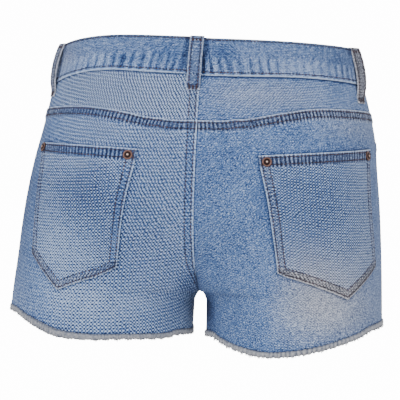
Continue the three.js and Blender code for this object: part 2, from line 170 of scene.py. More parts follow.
across_view = Vector((math.cos(VIEW_TURN), math.sin(VIEW_TURN), 0.0))
into_view = Vector((-math.sin(VIEW_TURN), math.cos(VIEW_TURN), 0.0))
up = Vector((0.0, 0.0, 1.0))
turned_across = across_view * math.cos(VIEW_ROLL) - up * math.sin(VIEW_ROLL)
turned_up = across_view * math.sin(VIEW_ROLL) + up * math.cos(VIEW_ROLL)
middle = Vector((0.0, 0.0, VIEW_MIDDLE_Z)) - across_view * VIEW_MIDDLE_LEFT
camera_data = bpy.data.cameras.new("camera")
camera_data.sensor_width = SENSOR
camera_data.lens = SENSOR * VIEW_DISTANCE / FRAME_WIDTH_AT_MIDDLE
camera = bpy.data.objects.new("camera", camera_data)
bpy.context.collection.objects.link(camera)
axes = Matrix((turned_across, turned_up, -into_view)).transposed().to_4x4()
camera.matrix_world = Matrix.Translation(middle - into_view * VIEW_DISTANCE) @ axes
bpy.context.scene.camera = camera

PAPER_GLOW = 14.0
STUDIO_GLOW = 0.94
SWEEP = {
    "half_width": 9.0, "near": -7.0, "far": 6.5, "height": 9.0, "radius": 1.2, "floor_z": -3.0, "steps": 16,
}
LIT_POINT = (0, 0, -0.12)
# Place, width and power of each lamp
LAMPS = {
    "key": ((-1.1, -1.9, 1.0), 1.0, 26),
    "fill": ((1.5, -1.8, 0.4), 1.4, 12),
    "front_fill": ((0.3, 2.1, 0.9), 1.6, 18),
}


class Nodes:
    """Short calls for a node tree."""

    def __init__(self, tree):
        self.tree = tree

    def add(self, kind, **settings):
        node = self.tree.nodes.new(kind)
        for key, value in settings.items():
            setattr(node, key, value)
        return node

    def put(self, socket, value):
        if isinstance(value, bpy.types.NodeSocket):
            self.tree.links.new(value, socket)
        else:
            socket.default_value = value

    def math(self, operation, a, b=0.0, c=0.0):
        node = self.add("ShaderNodeMath", operation=operation)
        for socket, value in zip(node.inputs, (a, b, c)):
            self.put(socket, value)
        return node.outputs[0]

    def times(self, a, b):
        return self.math("MULTIPLY", a, b)

    def sum(self, *values):
        total = values[0]
        for value in values[1:]:
            total = self.math("ADD", total, value)
        return total

    def attribute(self, name):
        return self.add("ShaderNodeAttribute", attribute_name=name).outputs["Fac"]

    def place(self):
        return self.add("ShaderNodeTexCoord").outputs["Object"]

    def mix(self, factor, a, b):
        node = self.add("ShaderNodeMix", data_type="RGBA")
        self.put(node.inputs[0], factor)
        self.put(node.inputs[6], a)
        self.put(node.inputs[7], b)
        return node.outputs[2]

    def ramp(self, factor, stops):
        node = self.add("ShaderNodeValToRGB")
        ramp = node.color_ramp
        while len(ramp.elements) < len(stops):
            ramp.elements.new(0.5)
        for element, (position, tint) in zip(ramp.elements, stops):
            element.position = position
            element.color = tint
        self.put(node.inputs["Fac"], factor)
        return node.outputs["Color"]

    def group(self, tree, **values):
        node = self.add("ShaderNodeGroup", node_tree=tree)
        for name, value in values.items():
            self.put(node.inputs[name], value)
        return node.outputs

    def noise(self, vector, scale, detail=2.0):
        node = self.add("ShaderNodeTexNoise")
        if vector is not None:
            self.put(node.inputs["Vector"], vector)
        node.inputs["Scale"].default_value = scale
        node.inputs["Detail"].default_value = detail
        return node.outputs["Fac"]

    def noise_about_zero(self, vector, scale, strength, detail=2.0):
        return self.times(self.math("SUBTRACT", self.noise(vector, scale, detail), 0.5), strength)

    def relief(self, height, strength, distance=0.0003):
        node = self.add("ShaderNodeBump")
        node.inputs["Strength"].default_value = strength
        node.inputs["Distance"].default_value = distance
        self.put(node.inputs["Height"], height)
        return node.outputs["Normal"]


def new_material(name):
    """A new material, with short calls for its nodes and its shader's sockets."""
    material = bpy.data.materials.new(name)
    material.use_nodes = True
    return material, Nodes(material.node_tree), material.node_tree.nodes["Principled BSDF"].inputs


def backdrop():
    near, far, radius = SWEEP["near"], SWEEP["far"], SWEEP["radius"]
    bend = np.linspace(0, math.pi / 2, SWEEP["steps"])
    y = np.concatenate([[near], far - radius * (1 - np.sin(bend)), [far]])
    z = np.concatenate([[0.0], radius * (1 - np.cos(bend)), [SWEEP["height"]]]) + SWEEP["floor_z"]
    points = [(x, a, b) for x in (-SWEEP["half_width"], SWEEP["half_width"]) for a, b in zip(y, z)]
    count = len(y)
    mesh = bpy.data.meshes.new("sweep")
    mesh.from_pydata(points, [], [(i, count + i, count + i + 1, i + 1) for i in range(count - 1)])
    mesh.shade_smooth()
    sweep = bpy.data.objects.new("sweep", mesh)
    bpy.context.collection.objects.link(sweep)
    paper, n, shader = new_material("paper")
    white = n.ramp(n.noise(None, 3.0), ((0.0, (0.95, 0.95, 0.95, 1)), (1.0, (0.98, 0.98, 0.98, 1))))
    n.put(shader["Base Color"], white)
    n.put(shader["Emission Color"], white)
    seen = n.add("ShaderNodeLightPath").outputs["Is Camera Ray"]
    n.put(shader["Emission Strength"], n.times(seen, PAPER_GLOW))
    shader["Roughness"].default_value = 0.9
    mesh.materials.append(paper)
    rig.stage(sweep)


backdrop()
for name, (place, size, power) in LAMPS.items():
    data = bpy.data.lights.new(name, "AREA")
    data.shape = "DISK"
    data.size = size
    data.energy = power
    lamp = bpy.data.objects.new(name, data)
    bpy.context.collection.objects.link(lamp)
    lamp.location = place
    lamp.rotation_euler = (Vector(LIT_POINT) - Vector(place)).to_track_quat("-Z", "Y").to_euler()
world = bpy.data.worlds.new("studio")
bpy.context.scene.world = world
world.use_nodes = True
world.node_tree.nodes["Background"].inputs["Color"].default_value = (1, 1, 1, 1)
world.node_tree.nodes["Background"].inputs["Strength"].default_value = STUDIO_GLOW

# Back panels
# Two pieces of washed denim twill from the yoke seam to the raw hem. The middle back seam is
# felled to the left and the yoke seam down onto these panels, each under two rows of stitches.
CLOTH = 1.2
# The pieces just overlap at their seams, so that no light shows through
HALF_GAP = -0.05
# Height, half widths left and right, depths back and front, and x where the back and front are deepest
LEVELS = np.array([
    (30, 147, 147, 96, 94, 8, 6),
    (18, 148.5, 148.5, 97.5, 95.5, 10, 8),
    (-11, 151, 152, 102, 99, 16, 14),
    (-38, 157, 159.5, 109, 102, 26, 20),
    (-70, 163.5, 167, 116.5, 105, 38, 30),
    (-103, 171, 170.5, 122.5, 105.5, 50, 40),
    (-135, 176.5, 174, 124.5, 104, 64, 54),
    (-167, 180.5, 176.5, 121, 101, 78, 69),
    (-199, 183.7, 178.5, 114, 98, 88, 82),
    (-231, 187.5, 180, 107, 95, 93, 90),
    (-258, 189.5, 181, 103, 93, 95, 93),
    (-290, 191, 182, 101, 92, 95, 94),
], float)[::-1]
ROUNDNESS = 2.25
CROTCH_Z = -226.0
CROTCH_Y = -6.0
RISE_TOP = {"back": -135.0, "front": -115.0}
RISE_CURVE = {"back": 2.2, "front": 2.0}
CLEFT = {"back": 5.0, "front": 2.5, "start": -60.0, "length": 80.0}
# The gap between the legs opens in a small arch, then widens slowly downwards
CROTCH_ARCH = {"half_width": 6.0, "height": 9.0, "widening": 0.025}
# Height over which the seat's shape passes into the leg's, and how round the leg is inside
LEG_BLEND = 60.0
LEG_CURVE = 0.9
# Turn runs round one half: 0 middle back or inseam, 2 side seam, 4 middle front or inseam.
# Each row of the yoke seam and the hem gives a turn and the heights there, left and right
YOKE_SEAM = np.array([
    (0, -62, -62), (1, -61, -60), (1.2, -54.5, -52.5), (1.39, -51, -46.5), (1.76, -51, -44.5),
    (2, -51.5, -44.5),
], float)
HEM = np.array([
    (0, -270, -271), (0.28, -269.5, -270.5), (0.4, -272, -275), (0.6, -272.6, -281), (0.8, -273.2, -284),
    (1, -274.4, -281.7), (1.2, -273, -275), (1.36, -266, -268.7), (1.5, -259, -263.5),
    (1.64, -253.5, -257.5), (2, -252, -253.5), (3, -250, -250), (3.6, -260, -260), (4, -270, -271),
], float)
FRAY_HEIGHT = 6.5
# On the left the frayed edge rolls out wider toward the side: middle and half width in turn, then mm
WIDE_FRAY = (1.28, 0.22, 2.6)


def smooth(t):
    t = np.clip(t, 0.0, 1.0)
    return t * t * (3 - 2 * t)


def bump(d, middle, width):
    return np.exp(-(((d - middle) / width) ** 2))


def unit(vectors):
    return vectors / np.linalg.norm(vectors, axis=-1, keepdims=True)


def along(table, position, column):
    """A smooth curve through one column of a table whose first column rises."""
    keys, values = table[:, 0], table[:, column]
    last = len(keys) - 1
    x = np.clip(position, keys[0], keys[last])
    i = np.clip(np.searchsorted(keys, x) - 1, 0, last - 1)
    index = np.arange(last + 1)
    before, after = np.maximum(index - 1, 0), np.minimum(index + 1, last)
    slope = (values[after] - values[before]) / (keys[after] - keys[before])
    step = keys[i + 1] - keys[i]
    t = (x - keys[i]) / step
    rise = smooth(t)
    bend = t * (1 - t) * (1 - t) * step * slope[i] - t * t * (1 - t) * step * slope[i + 1]
    return values[i] * (1 - rise) + values[i + 1] * rise + bend


def either(first, table, position, column):
    """A table's value from one column where first is true, and elsewhere from the next column."""
    return np.where(first, along(table, position, column), along(table, position, column + 1))


def skin(side, turn, z):
    """Points on the cloth's outer face, in mm. Side is -1 left or 1 right, and may be an array."""
    side, turn, z = np.broadcast_arrays(*(np.asarray(value, float) for value in (side, turn, z)))
    is_back = turn <= 2
    share = np.where(is_back, turn, 4 - turn)
    facing = np.where(is_back, -1.0, 1.0)
    half = either(side < 0, LEVELS, z, 1)
    depth = either(is_back, LEVELS, z, 3)
    deep_x = either(is_back, LEVELS, z, 5)
    angle = np.clip(share - 1, 0, 1) * math.pi / 2
    outer_x = deep_x + (half - deep_x) * np.sin(angle) ** (2 / ROUNDNESS)
    outer_y = HALF_GAP + (depth - HALF_GAP) * np.maximum(np.cos(angle), 0) ** (2 / ROUNDNESS)
    below = np.maximum(CROTCH_Z - z, 0)
    arch = CROTCH_ARCH["half_width"] * np.sqrt(np.minimum(below / CROTCH_ARCH["height"], 1))
    seam_x = HALF_GAP + arch + CROTCH_ARCH["widening"] * below
    cleft, rise_top, power = (
        np.where(is_back, pair["back"], pair["front"]) for pair in (CLEFT, RISE_TOP, RISE_CURVE)
    )
    cleft = cleft * smooth((CLEFT["start"] - z) / CLEFT["length"])
    drop = np.clip((rise_top - z) / (rise_top - CROTCH_Z), 0, 1)
    seam_end = CROTCH_Y + facing * HALF_GAP
    seam_y = seam_end + (facing * (depth - cleft) - seam_end) * (1 - drop**power) ** (1 / power)
    legness = smooth(1 - (z - CROTCH_Z) / LEG_BLEND)
    inner = np.clip(share, 0, 1)
    quarter = inner * math.pi / 2
    leg_x = seam_x + (deep_x - seam_x) * np.maximum(1 - np.cos(quarter), 0) ** LEG_CURVE
    leg_y = seam_y + (facing * depth - seam_y) * np.sin(quarter) ** LEG_CURVE
    seat_x = seam_x + (deep_x - seam_x) * inner
    seat_y = seam_y + (facing * depth - seam_y) * (1 - np.cos(inner * math.pi)) / 2
    inner_x = seat_x + (leg_x - seat_x) * legness
    inner_y = seat_y + (leg_y - seat_y) * legness
    x = np.where(share > 1, outer_x, inner_x)
    y = np.where(share > 1, facing * outer_y, inner_y)
    return np.stack([side * x, y, z], -1)


def hem_z(side, turn):
    return either(side < 0, HEM, turn, 1)


def fray_top(side, turn):
    middle, half, extra = WIDE_FRAY
    return hem_z(side, turn) + FRAY_HEIGHT + (extra * bump(turn, middle, half) if side < 0 else 0)


def yoke_z(side, turn):
    return either(side < 0, YOKE_SEAM, turn, 1)


# Spacing in mm of the puckers across a felled seam, which cloth and material both draw
PUCKER_SPACING = 3.7
# How many puckers long the slower waves are that make them uneven
SLOW, FAST, SWING = 3.3, 1.9, 4.7


def uneven(s, spacing, seed):
    """An uneven wave along s, from -1 to 1, for puckers that differ in length, depth and spacing."""
    slow, fast, swing = (np.sin(s / (k * spacing) + m * seed) for k, m in ((SLOW, 1), (FAST, 2), (SWING, 3)))
    return np.sin(2 * math.pi * s / spacing + 1.5 * slow + 1.1 * fast) * (0.65 + 0.35 * swing)


def seam_fold(d, s, width, thick=0.75, rope=0.35, contrast=1.0):
    """The raised, puckered band of a felled seam at distance d from its edge: lift, wash and fold."""
    band = smooth(d / 0.9 + 0.35) * (1 - smooth((d - width) / 1.3))
    inside = smooth(d / 1.0) * (1 - smooth((d - width - 0.6) / 1.2))
    rows = bump(d, 2.5, 0.7) + bump(d, width - 1.4, 0.7)
    lift = thick * band + rope * uneven(s, PUCKER_SPACING, 0) * inside - 0.18 * rows * band
    wash_and_shade = 0.85 * bump(d, 0.5, 0.9) * (0.8 + 0.2 * uneven(s, 9.0, 1))
    wash_and_shade += 0.14 * bump(d, width + 1.3, 0.9) - contrast * (0.17 + 0.28 * rows) * inside
    return lift, wash_and_shade, contrast * inside


# Fades of the wash on the back, and painted shade, by x and z of their middles, half sizes, added wash and added grey
FADES_AND_SHADE = (
    (-76, -160, 80, 120, -0.02, -0.25),
    (-124, -186, 28, 34, 0.24, -0.1),
    (-108, -240, 58, 22, 0.24, 0.06),
    (122, -234, 46, 34, 0.31, 0.6),
    (112, -196, 34, 26, 0.1, 0.25),
    (-84, -32, 48, 15, -0.07, -0.2),
    (62, -36, 60, 16, 0.11, 0.25),
    (-74, -72, 44, 16, 0.06, 0.05),
    (140, -62, 30, 14, 0.1, 0.2),
    (36, -215, 34, 60, 0.0, -0.4),
    (-44, -238, 30, 30, 0.01, -0.2),
    (-176, -130, 22, 80, -0.14, 0.0),
    (-104, -140, 38, 34, -0.26, -0.1),
    (112, -140, 40, 36, -0.2, 0.0),
    (-106, -104, 42, 8, 0.08, 0.0),
    (104, -112, 44, 8, -0.03, 0.0),
    (-76, -4, 12, 3, -0.2, -0.1),
    (-32, 2, 14, 10, -0.1, -0.1),
    (21, 4, 12, 9, -0.16, -0.1),
    (128, 2, 14, 12, -0.14, 0.0),
    (-145, 4, 24, 20, 0.02, 0.25),
    (12, -262, 9, 26, -0.2, -0.1),
    # Painted shade: on the right inner thigh under the crotch, and in the folds at the foot of the middle back seam
    (9, -242, 8, 11, -0.34, 0.0),
    (-7, -221, 8, 13, -0.2, 0.0),
)
FRONT_FADES = ((-95, -170, 40, 60, 0.3, 0.25), (95, -170, 40, 60, 0.3, 0.25))
# The greyer sides: how far out they start, over what width, and how grey they are
GREY_SIDES = (120, 50, 0.12)


def fades_and_shade(points):
    """Wash and grey at points in mm: soft worn places, patches of painted shade, the sides a little greyer."""
    start, width, amount = GREY_SIDES
    wash_and_shade = np.zeros(points.shape[:-1])
    grey = amount * smooth((np.abs(points[..., 0]) - start) / width)
    back = smooth((20 - points[..., 1]) / 30)
    front = smooth((points[..., 1] + 20) / 30)
    for fades, shown in ((FADES_AND_SHADE, back), (FRONT_FADES, front)):
        for x, z, half_x, half_z, more_wash_and_shade, more_grey in fades:
            place = bump(points[..., 0], x, half_x) * bump(points[..., 2], z, half_z) * shown
            wash_and_shade += more_wash_and_shade * place
            grey += more_grey * place
    return wash_and_shade, grey


def paint_shadow_beside(piece, path, reach, amount):
    """Paints shadow on a piece's cloth near a path in mm, where a raised edge stands beside it."""
    tree = KDTree(len(path))
    for i, point in enumerate(path):
        tree.insert(point, i)
    tree.balance()
    mesh = piece.data
    wash_and_shade = np.empty(len(mesh.vertices), np.float32)
    mesh.attributes["wash_and_shade"].data.foreach_get("value", wash_and_shade)
    distance = np.array([tree.find(vertex.co / MM)[2] for vertex in mesh.vertices])
    mesh.attributes["wash_and_shade"].data.foreach_set("value", wash_and_shade - amount * np.exp(-((distance / reach) ** 2)))


def set_values(mesh, key, values):
    """One number for each point of a mesh, which its material reads by name."""
    attribute = mesh.attributes.new(key, "FLOAT", "POINT")
    attribute.data.foreach_set("value", np.asarray(values, np.float32))


def add_piece(name, mesh, material):
    """Puts a finished mesh into the scene."""
    mesh.shade_smooth()
    mesh.materials.append(material)
    piece = bpy.data.objects.new(name, mesh)
    bpy.context.collection.objects.link(piece)
    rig.ride(piece, "root")
    return piece


def cloth_mesh(name, outer, under, flat, masks, material, wraps=False, flip=False):
    """A closed thin mesh between two grids of points in mm. Flat gives each point's place on the cut."""
    rows, columns = outer.shape[:2]
    count = rows * columns
    points = np.concatenate([outer.reshape(-1, 3), under.reshape(-1, 3)]) * MM
    last = columns if wraps else columns - 1
    row, column = np.meshgrid(np.arange(rows - 1) * columns, np.arange(last), indexing="ij")
    here, beside = (row + column).ravel(), (row + (column + 1) % columns).ravel()
    quads = np.stack([here, beside, beside + columns, here + columns], -1)
    edge = np.arange(last)
    following = (edge + 1) % columns
    lowest = (rows - 1) * columns
    faces = [
        quads,
        quads[:, ::-1] + count,
        np.stack([edge + count, following + count, following, edge], -1),
        np.stack([edge, following, following + count, edge + count], -1) + lowest,
    ]
    if not wraps:
        down = np.arange(rows - 1) * columns
        faces.append(np.stack([down + count, down, down + columns, down + columns + count], -1))
        down = down + columns - 1
        faces.append(np.stack([down, down + count, down + columns + count, down + columns], -1))
    faces = np.concatenate(faces)
    if flip:
        faces = faces[:, ::-1]
    mesh = bpy.data.meshes.new(name)
    mesh.vertices.add(len(points))
    mesh.vertices.foreach_set("co", points.astype(np.float32).ravel())
    mesh.loops.add(faces.size)
    mesh.loops.foreach_set("vertex_index", faces.astype(np.int32).ravel())
    mesh.polygons.add(len(faces))
    mesh.polygons.foreach_set("loop_start", np.arange(0, faces.size, 4, dtype=np.int32))
    mesh.update(calc_edges=True)
    layer = mesh.uv_layers.new(name="cloth")
    places = np.tile(flat.reshape(-1, 2) * MM, (2, 1))[faces.ravel()]
    layer.data.foreach_set("uv", places.astype(np.float32).ravel())
    for key, values in masks.items():
        set_values(mesh, key, np.tile(np.broadcast_to(values, (rows, columns)).ravel(), 2))
    set_values(mesh, "inside", np.repeat([0.0, 1.0], count))
    mesh.validate()
    return add_piece(name, mesh, material)


def crossing(table, distance):
    """Where each row of a table of distances reaches one value, as a place between its columns."""
    order = 1 if table[0, -1] > table[0, 0] else -1
    index = np.arange(table.shape[1])[::order]
    return np.array([np.interp(distance, row[::order], index) for row in table])


class Shell:
    """A grid of points on the skin with normals, and distances in mm from its four edges."""

    # Step in u and v for the slopes, and weights of x and y in the direction out from the middle
    STEP = 0.002
    OUTWARD = (0.45, 1, 0)

    def __init__(self, place, us, vs, wraps=False):
        self.wraps = wraps
        self.u, self.v = np.meshgrid(us, vs)
        self.base = place(self.u, self.v)
        low, high = self.u - self.STEP, self.u + self.STEP
        if not wraps:
            low, high = np.maximum(low, 0), np.minimum(high, 1)
        across = place(high, self.v) - place(low, self.v)
        upper, lower = np.maximum(self.v - self.STEP, 0), np.minimum(self.v + self.STEP, 1)
        normal = unit(np.cross(across, place(self.u, lower) - place(self.u, upper)))
        j, i = normal.shape[0] // 2, normal.shape[1] // 2
        self.flip = np.dot(normal[j, i], self.base[j, i] * self.OUTWARD) < 0
        self.normal = -normal if self.flip else normal
        self.step_u = np.linalg.norm(np.diff(self.base, axis=1), axis=-1)
        self.step_v = np.linalg.norm(np.diff(self.base, axis=0), axis=-1)
        self.start = np.pad(np.cumsum(self.step_u, 1), ((0, 0), (1, 0)))
        self.end = self.start[:, -1:] - self.start
        self.top = np.pad(np.cumsum(self.step_v, 0), ((1, 0), (0, 0)))
        self.bottom = self.top[-1:] - self.top
        self.run = self.start - self.start[:, [i]]

    def build(self, name, lift, inner, masks, material):
        """The shell's mesh: outer points at lift and inner points at inner, both in mm."""
        self.outer = self.base + self.normal * lift[..., None]
        under = self.base + self.normal * np.broadcast_to(inner, lift.shape)[..., None]
        flat = np.stack([self.run, -self.base[..., 2]], -1)
        return cloth_mesh(name, self.outer, under, flat, masks, material, self.wraps, self.flip)

    def cut(self):
        """The piece laid flat: its widest and tallest in metres, and its area in square metres."""
        cells = (self.step_u[1:] + self.step_u[:-1]) / 2 * (self.step_v[:, 1:] + self.step_v[:, :-1]) / 2
        flat = (float(self.step_u.sum(1).max()) * MM, float(self.step_v.sum(0).max()) * MM)
        return {"flat": flat, "area": float(cells.sum()) * MM * MM}

    def line(self, away, distance, across, keep=slice(None)):
        """Points and normals on the outer face at one distance from a side edge, or from top or bottom."""
        table, outer, normal = away, self.outer, self.normal
        if not across:
            table, outer, normal = away.T, outer.transpose(1, 0, 2), normal.transpose(1, 0, 2)
        at = crossing(table, distance)
        low = np.minimum(at.astype(int), table.shape[1] - 2)
        part = (at - low)[:, None]
        rows = np.arange(len(table))
        points = outer[rows, low] * (1 - part) + outer[rows, low + 1] * part
        return points[keep], normal[rows, low][keep]

    def lines(self, away, distances, across, keep=slice(None)):
        return [self.line(away, distance, across, keep) for distance in distances]


# Sizes of a stitch in mm, how far in the first one starts, and how deep its ends and its belly sit
STITCH = {"length": 2.8, "gap": 0.5, "half_width": 0.72, "height": 0.42}
STITCH_START = 0.6
STITCH_SUNK = {"ends": 0.1, "belly": 0.2}


def fine_mesh(name, points, faces, material, shade):
    """A mesh of many small parts, in mm, with one shade for each point."""
    mesh = bpy.data.meshes.new(name)
    mesh.from_pydata(np.asarray(points) * MM, [], faces)
    set_values(mesh, "shade", shade)
    return add_piece(name, mesh, material)


def sew(name, lines):
    """Rows of raised stitches along lines of points and normals."""
    points, faces, shade = [], [], []
    for path, normals in lines:
        s = np.concatenate([[0], np.cumsum(np.linalg.norm(np.diff(path, axis=0), axis=1))])
        for begin in np.arange(STITCH_START, s[-1] - STITCH["length"], STITCH["length"] + STITCH["gap"]):
            at = begin + STITCH["length"] * np.array([0, 0.25, 0.75, 1])
            spine = np.stack([np.interp(at, s, path[:, k]) for k in range(3)], -1)
            normal = np.array([np.interp(begin, s, normals[:, k]) for k in range(3)])
            side = unit(np.cross(spine[-1] - spine[0], normal))
            wide, high = side * STITCH["half_width"], normal * STITCH["height"]
            first = len(points)
            points.append(spine[0] - normal * STITCH_SUNK["ends"])
            for middle in spine[1:3]:
                belly = middle - normal * STITCH_SUNK["belly"]
                points.extend([middle + wide, middle + high, middle - wide, belly])
            points.append(spine[3] - normal * STITCH_SUNK["ends"])
            for k in range(4):
                n = (k + 1) % 4
                faces.append((first, first + 1 + n, first + 1 + k))
                faces.append((first + 1 + k, first + 1 + n, first + 5 + n, first + 5 + k))
                faces.append((first + 5 + k, first + 5 + n, first + 9))
            shade.extend([math.sin(12.9 * begin + 7 * len(shade))] * 10)
    piece = fine_mesh(name, points, faces, thread, shade)
    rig.slot(piece, "denim")
    return piece


def colour(red, green, blue):
    """A colour given as it looks on screen, 0 to 255."""
    def linear(c):
        c = c / 255
        return c / 12.92 if c <= 0.04045 else ((c + 0.055) / 1.055) ** 2.4
    return (linear(red), linear(green), linear(blue), 1.0)


def shader_group(name, inputs, outputs):
    """A node group with its sockets, short calls for its nodes, and what it is given and puts out."""
    group = bpy.data.node_groups.new(name, "ShaderNodeTree")
    for socket, kind in inputs.items():
        group.interface.new_socket(socket, in_out="INPUT", socket_type=f"NodeSocket{kind}")
    for socket in outputs:
        group.interface.new_socket(socket, in_out="OUTPUT", socket_type="NodeSocketFloat")
    n = Nodes(group)
    return group, n, n.add("NodeGroupInput").outputs, n.add("NodeGroupOutput").inputs


# Spacing of the dots in metres. The rows sag a little toward the middle of each piece
DOT_SPACING = 0.0031
ROW_BOW = 0.9
BOW_MIDDLE = (0.02, 0.15)
# Strengths of plain rows and of rows broken into dots, and how far both wander, in rows and in dots
ROW_MIX, DOT_MIX = 0.48, 1.3
ROW_WANDER, DOT_WANDER = 0.6, 0.7
SLUB_STRETCH = (150, 520, 1)


def twill_group():
    """Twill in real size: rows of raised dots on a slant, uneven yarns and slubs."""
    inputs = {"Cloth": "Vector", "Place": "Vector", "Rows": "Float", "Spacing": "Float", "Grain": "Float"}
    group, n, given, result = shader_group("twill", inputs, ("Weave", "Height"))
    split = n.add("ShaderNodeSeparateXYZ")
    n.put(split.inputs["Vector"], given["Cloth"])
    u, v = split.outputs["X"], split.outputs["Y"]
    wander = n.noise(given["Place"], 140.0, 1.0)
    from_middle = n.math("SUBTRACT", u, BOW_MIDDLE[0])
    below = n.math("SUBTRACT", v, BOW_MIDDLE[1])
    bow = n.times(n.times(from_middle, from_middle), ROW_BOW)
    down = n.math("DIVIDE", n.sum(v, bow), given["Spacing"])
    across = n.math("MULTIPLY_ADD", n.times(from_middle, below), -1.2 * ROW_BOW, u)
    row_phase = n.sum(down, n.times(wander, ROW_WANDER))
    dot_phase = n.sum(n.times(across, 1 / DOT_SPACING), n.times(wander, DOT_WANDER))
    rows, dots = (n.math("SINE", n.times(phase, 2 * math.pi)) for phase in (row_phase, dot_phase))
    woven = n.sum(n.times(rows, ROW_MIX), n.times(n.times(rows, dots), DOT_MIX))
    stretched = n.add("ShaderNodeMapping")
    n.put(stretched.inputs["Vector"], given["Cloth"])
    stretched.inputs["Scale"].default_value = SLUB_STRETCH
    slub = n.noise_about_zero(stretched.outputs["Vector"], 1.0, 0.26)
    fine = n.noise_about_zero(given["Place"], 1150.0, 2.4, 1.0)
    n.put(result["Weave"], n.times(n.sum(n.times(woven, given["Rows"]), fine, slub), given["Grain"]))
    n.put(result["Height"], n.sum(n.times(woven, 0.4), fine))
    return group


PUCKER_WASH = 0.34


def pucker_group():
    """The ladder of puckers across a felled seam, pale on their ridges, dark between them."""
    inputs = {"Seam": "Float", "Fold": "Float", "Place": "Vector"}
    group, n, given, result = shader_group("puckers", inputs, ("Wash",))

    def wave(puckers_long, strength):
        angle = n.times(given["Seam"], 1 / (puckers_long * PUCKER_SPACING))
        return n.times(n.math("SINE", angle), strength)

    turn = n.times(given["Seam"], 2 * math.pi / PUCKER_SPACING)
    ladder = n.math("SINE", n.sum(turn, wave(SLOW, 1.5), wave(FAST, 1.1)))
    strength = n.times(n.sum(0.8, wave(SWING, 0.3)), PUCKER_WASH)
    patchy = n.times(n.noise(given["Place"], 160.0), 2.0)
    n.put(result["Wash"], n.times(n.times(ladder, strength), n.times(given["Fold"], patchy)))
    return group


twill = twill_group()
puckers = pucker_group()
DENIM_STOPS = (
    (0.0, colour(24, 38, 74)),
    (0.25, colour(55, 80, 129)),
    (0.5, colour(88, 117, 168)),
    (0.75, colour(132, 160, 207)),
    (1.0, colour(190, 209, 238)),
)
INSIDE_STOPS = ((0.2, colour(80, 96, 126)), (0.6, colour(140, 152, 172)), (1.0, colour(196, 200, 208)))
# The greyed cloth is a little warmer than plain grey, and a fold is greyer than the cloth beside it
GREY_TINT = (1.04, 1.0, 1.03)
FOLD_GREY = 0.3
MOST_GREY = 0.85


def denim_material(name, bleach):
    """Washed blue twill. Its wash and grey attributes give its fades and also the painted shade and shadow, and the
    inside is greyer.
    """
    material, n, shader = new_material(name)
    place = n.place()
    cloth = n.add("ShaderNodeUVMap", uv_map="cloth").outputs["UV"]
    fold, spacing, grain = (n.attribute(name) for name in ("fold", "spacing", "grain"))
    rows = n.times(n.attribute("rows"), n.math("SUBTRACT", 1.0, fold))
    weave = n.group(twill, Cloth=cloth, Place=place, Rows=rows, Spacing=spacing, Grain=grain)
    folds = n.group(puckers, Seam=n.attribute("seam"), Fold=fold, Place=place)
    clouds = n.noise_about_zero(place, 30.0, 0.22, 3.0)
    # The wash attribute carries the fades and also painted shade and shadow
    wash_and_shade = n.sum(n.attribute("wash_and_shade"), bleach, weave["Weave"], clouds, folds["Wash"])
    blue = n.ramp(wash_and_shade, DENIM_STOPS)
    lightness = n.add("ShaderNodeRGBToBW")
    n.put(lightness.inputs["Color"], blue)
    greyed = n.add("ShaderNodeCombineColor")
    for socket, gain in zip(greyed.inputs, GREY_TINT):
        n.put(socket, n.times(lightness.outputs["Val"], gain))
    grey = n.math("MULTIPLY_ADD", fold, FOLD_GREY, n.attribute("grey"))
    grey = n.math("MINIMUM", n.math("MAXIMUM", grey, 0.0), MOST_GREY)
    outside = n.mix(grey, blue, greyed.outputs["Color"])
    inner = n.ramp(n.sum(0.6, weave["Weave"]), INSIDE_STOPS)
    n.put(shader["Base Color"], n.mix(n.attribute("inside"), outside, inner))
    n.put(shader["Normal"], n.relief(weave["Height"], 0.5))
    shader["Roughness"].default_value = 0.9
    shader["Specular IOR Level"].default_value = 0.2
    shader["Sheen Weight"].default_value = 0.05
    shader["Sheen Roughness"].default_value = 0.5
    return material


def thread_material():
    """Brown sewing thread, a little uneven along its length."""
    material, n, shader = new_material("thread")
    tone = n.sum(n.noise(n.place(), 300.0), n.times(n.attribute("shade"), 0.2))
    n.put(shader["Base Color"], n.ramp(tone, ((0.2, colour(26, 22, 36)), (0.8, colour(78, 62, 70)))))
    shader["Roughness"].default_value = 0.8
    return material


denim = denim_material("denim", 0.45)
thread = thread_material()
# Strength and spacing in metres of the twill's rows, and strength of its grain
WEAVE = {
    -1: {"rows": 0.66, "spacing": 0.0034, "grain": 0.86},
    1: {"rows": 0.14, "spacing": 0.0024, "grain": 0.95},
}
side_name = {-1: "left", 1: "right"}
CROTCH_SHARE = 0.78
# How far each raw edge wavers, in mm, and how many mm of edge there are in one turn
EDGE_WAVE = {-1: 0.35, 1: 0.7}
EDGE_PER_TURN = 155.0
# Share of a piece's length near an edge where its grid is closer
CLOSE_SHARE = 0.06


def spread(count, near_start=0.0, near_end=0.0):
    """Shares from 0 to 1, closer together near the start or the end."""
    t = np.linspace(0, 1, count + 1)
    weight = 1 + near_start * np.exp(-t / CLOSE_SHARE) + near_end * np.exp(-(1 - t) / CLOSE_SHARE)
    steps = (1 / weight)[:-1]
    return np.concatenate([[0], np.cumsum(steps) / steps.sum()])


def panel_z(top, side, turn, v):
    """Height at a share v of the way down a panel, which passes the crotch at CROTCH_SHARE."""
    t = np.minimum(v / CROTCH_SHARE, 1)
    upper = top + (CROTCH_Z - top) * (1 - (1 - t) ** 1.7)
    b = np.maximum((v - CROTCH_SHARE) / (1 - CROTCH_SHARE), 0)
    edge = fray_top(side, turn) + EDGE_WAVE[side] * uneven(EDGE_PER_TURN * turn, 6.2, 4)
    lower = CROTCH_Z + (edge - CROTCH_Z) * b**1.5
    return np.where(v <= CROTCH_SHARE, upper, lower)


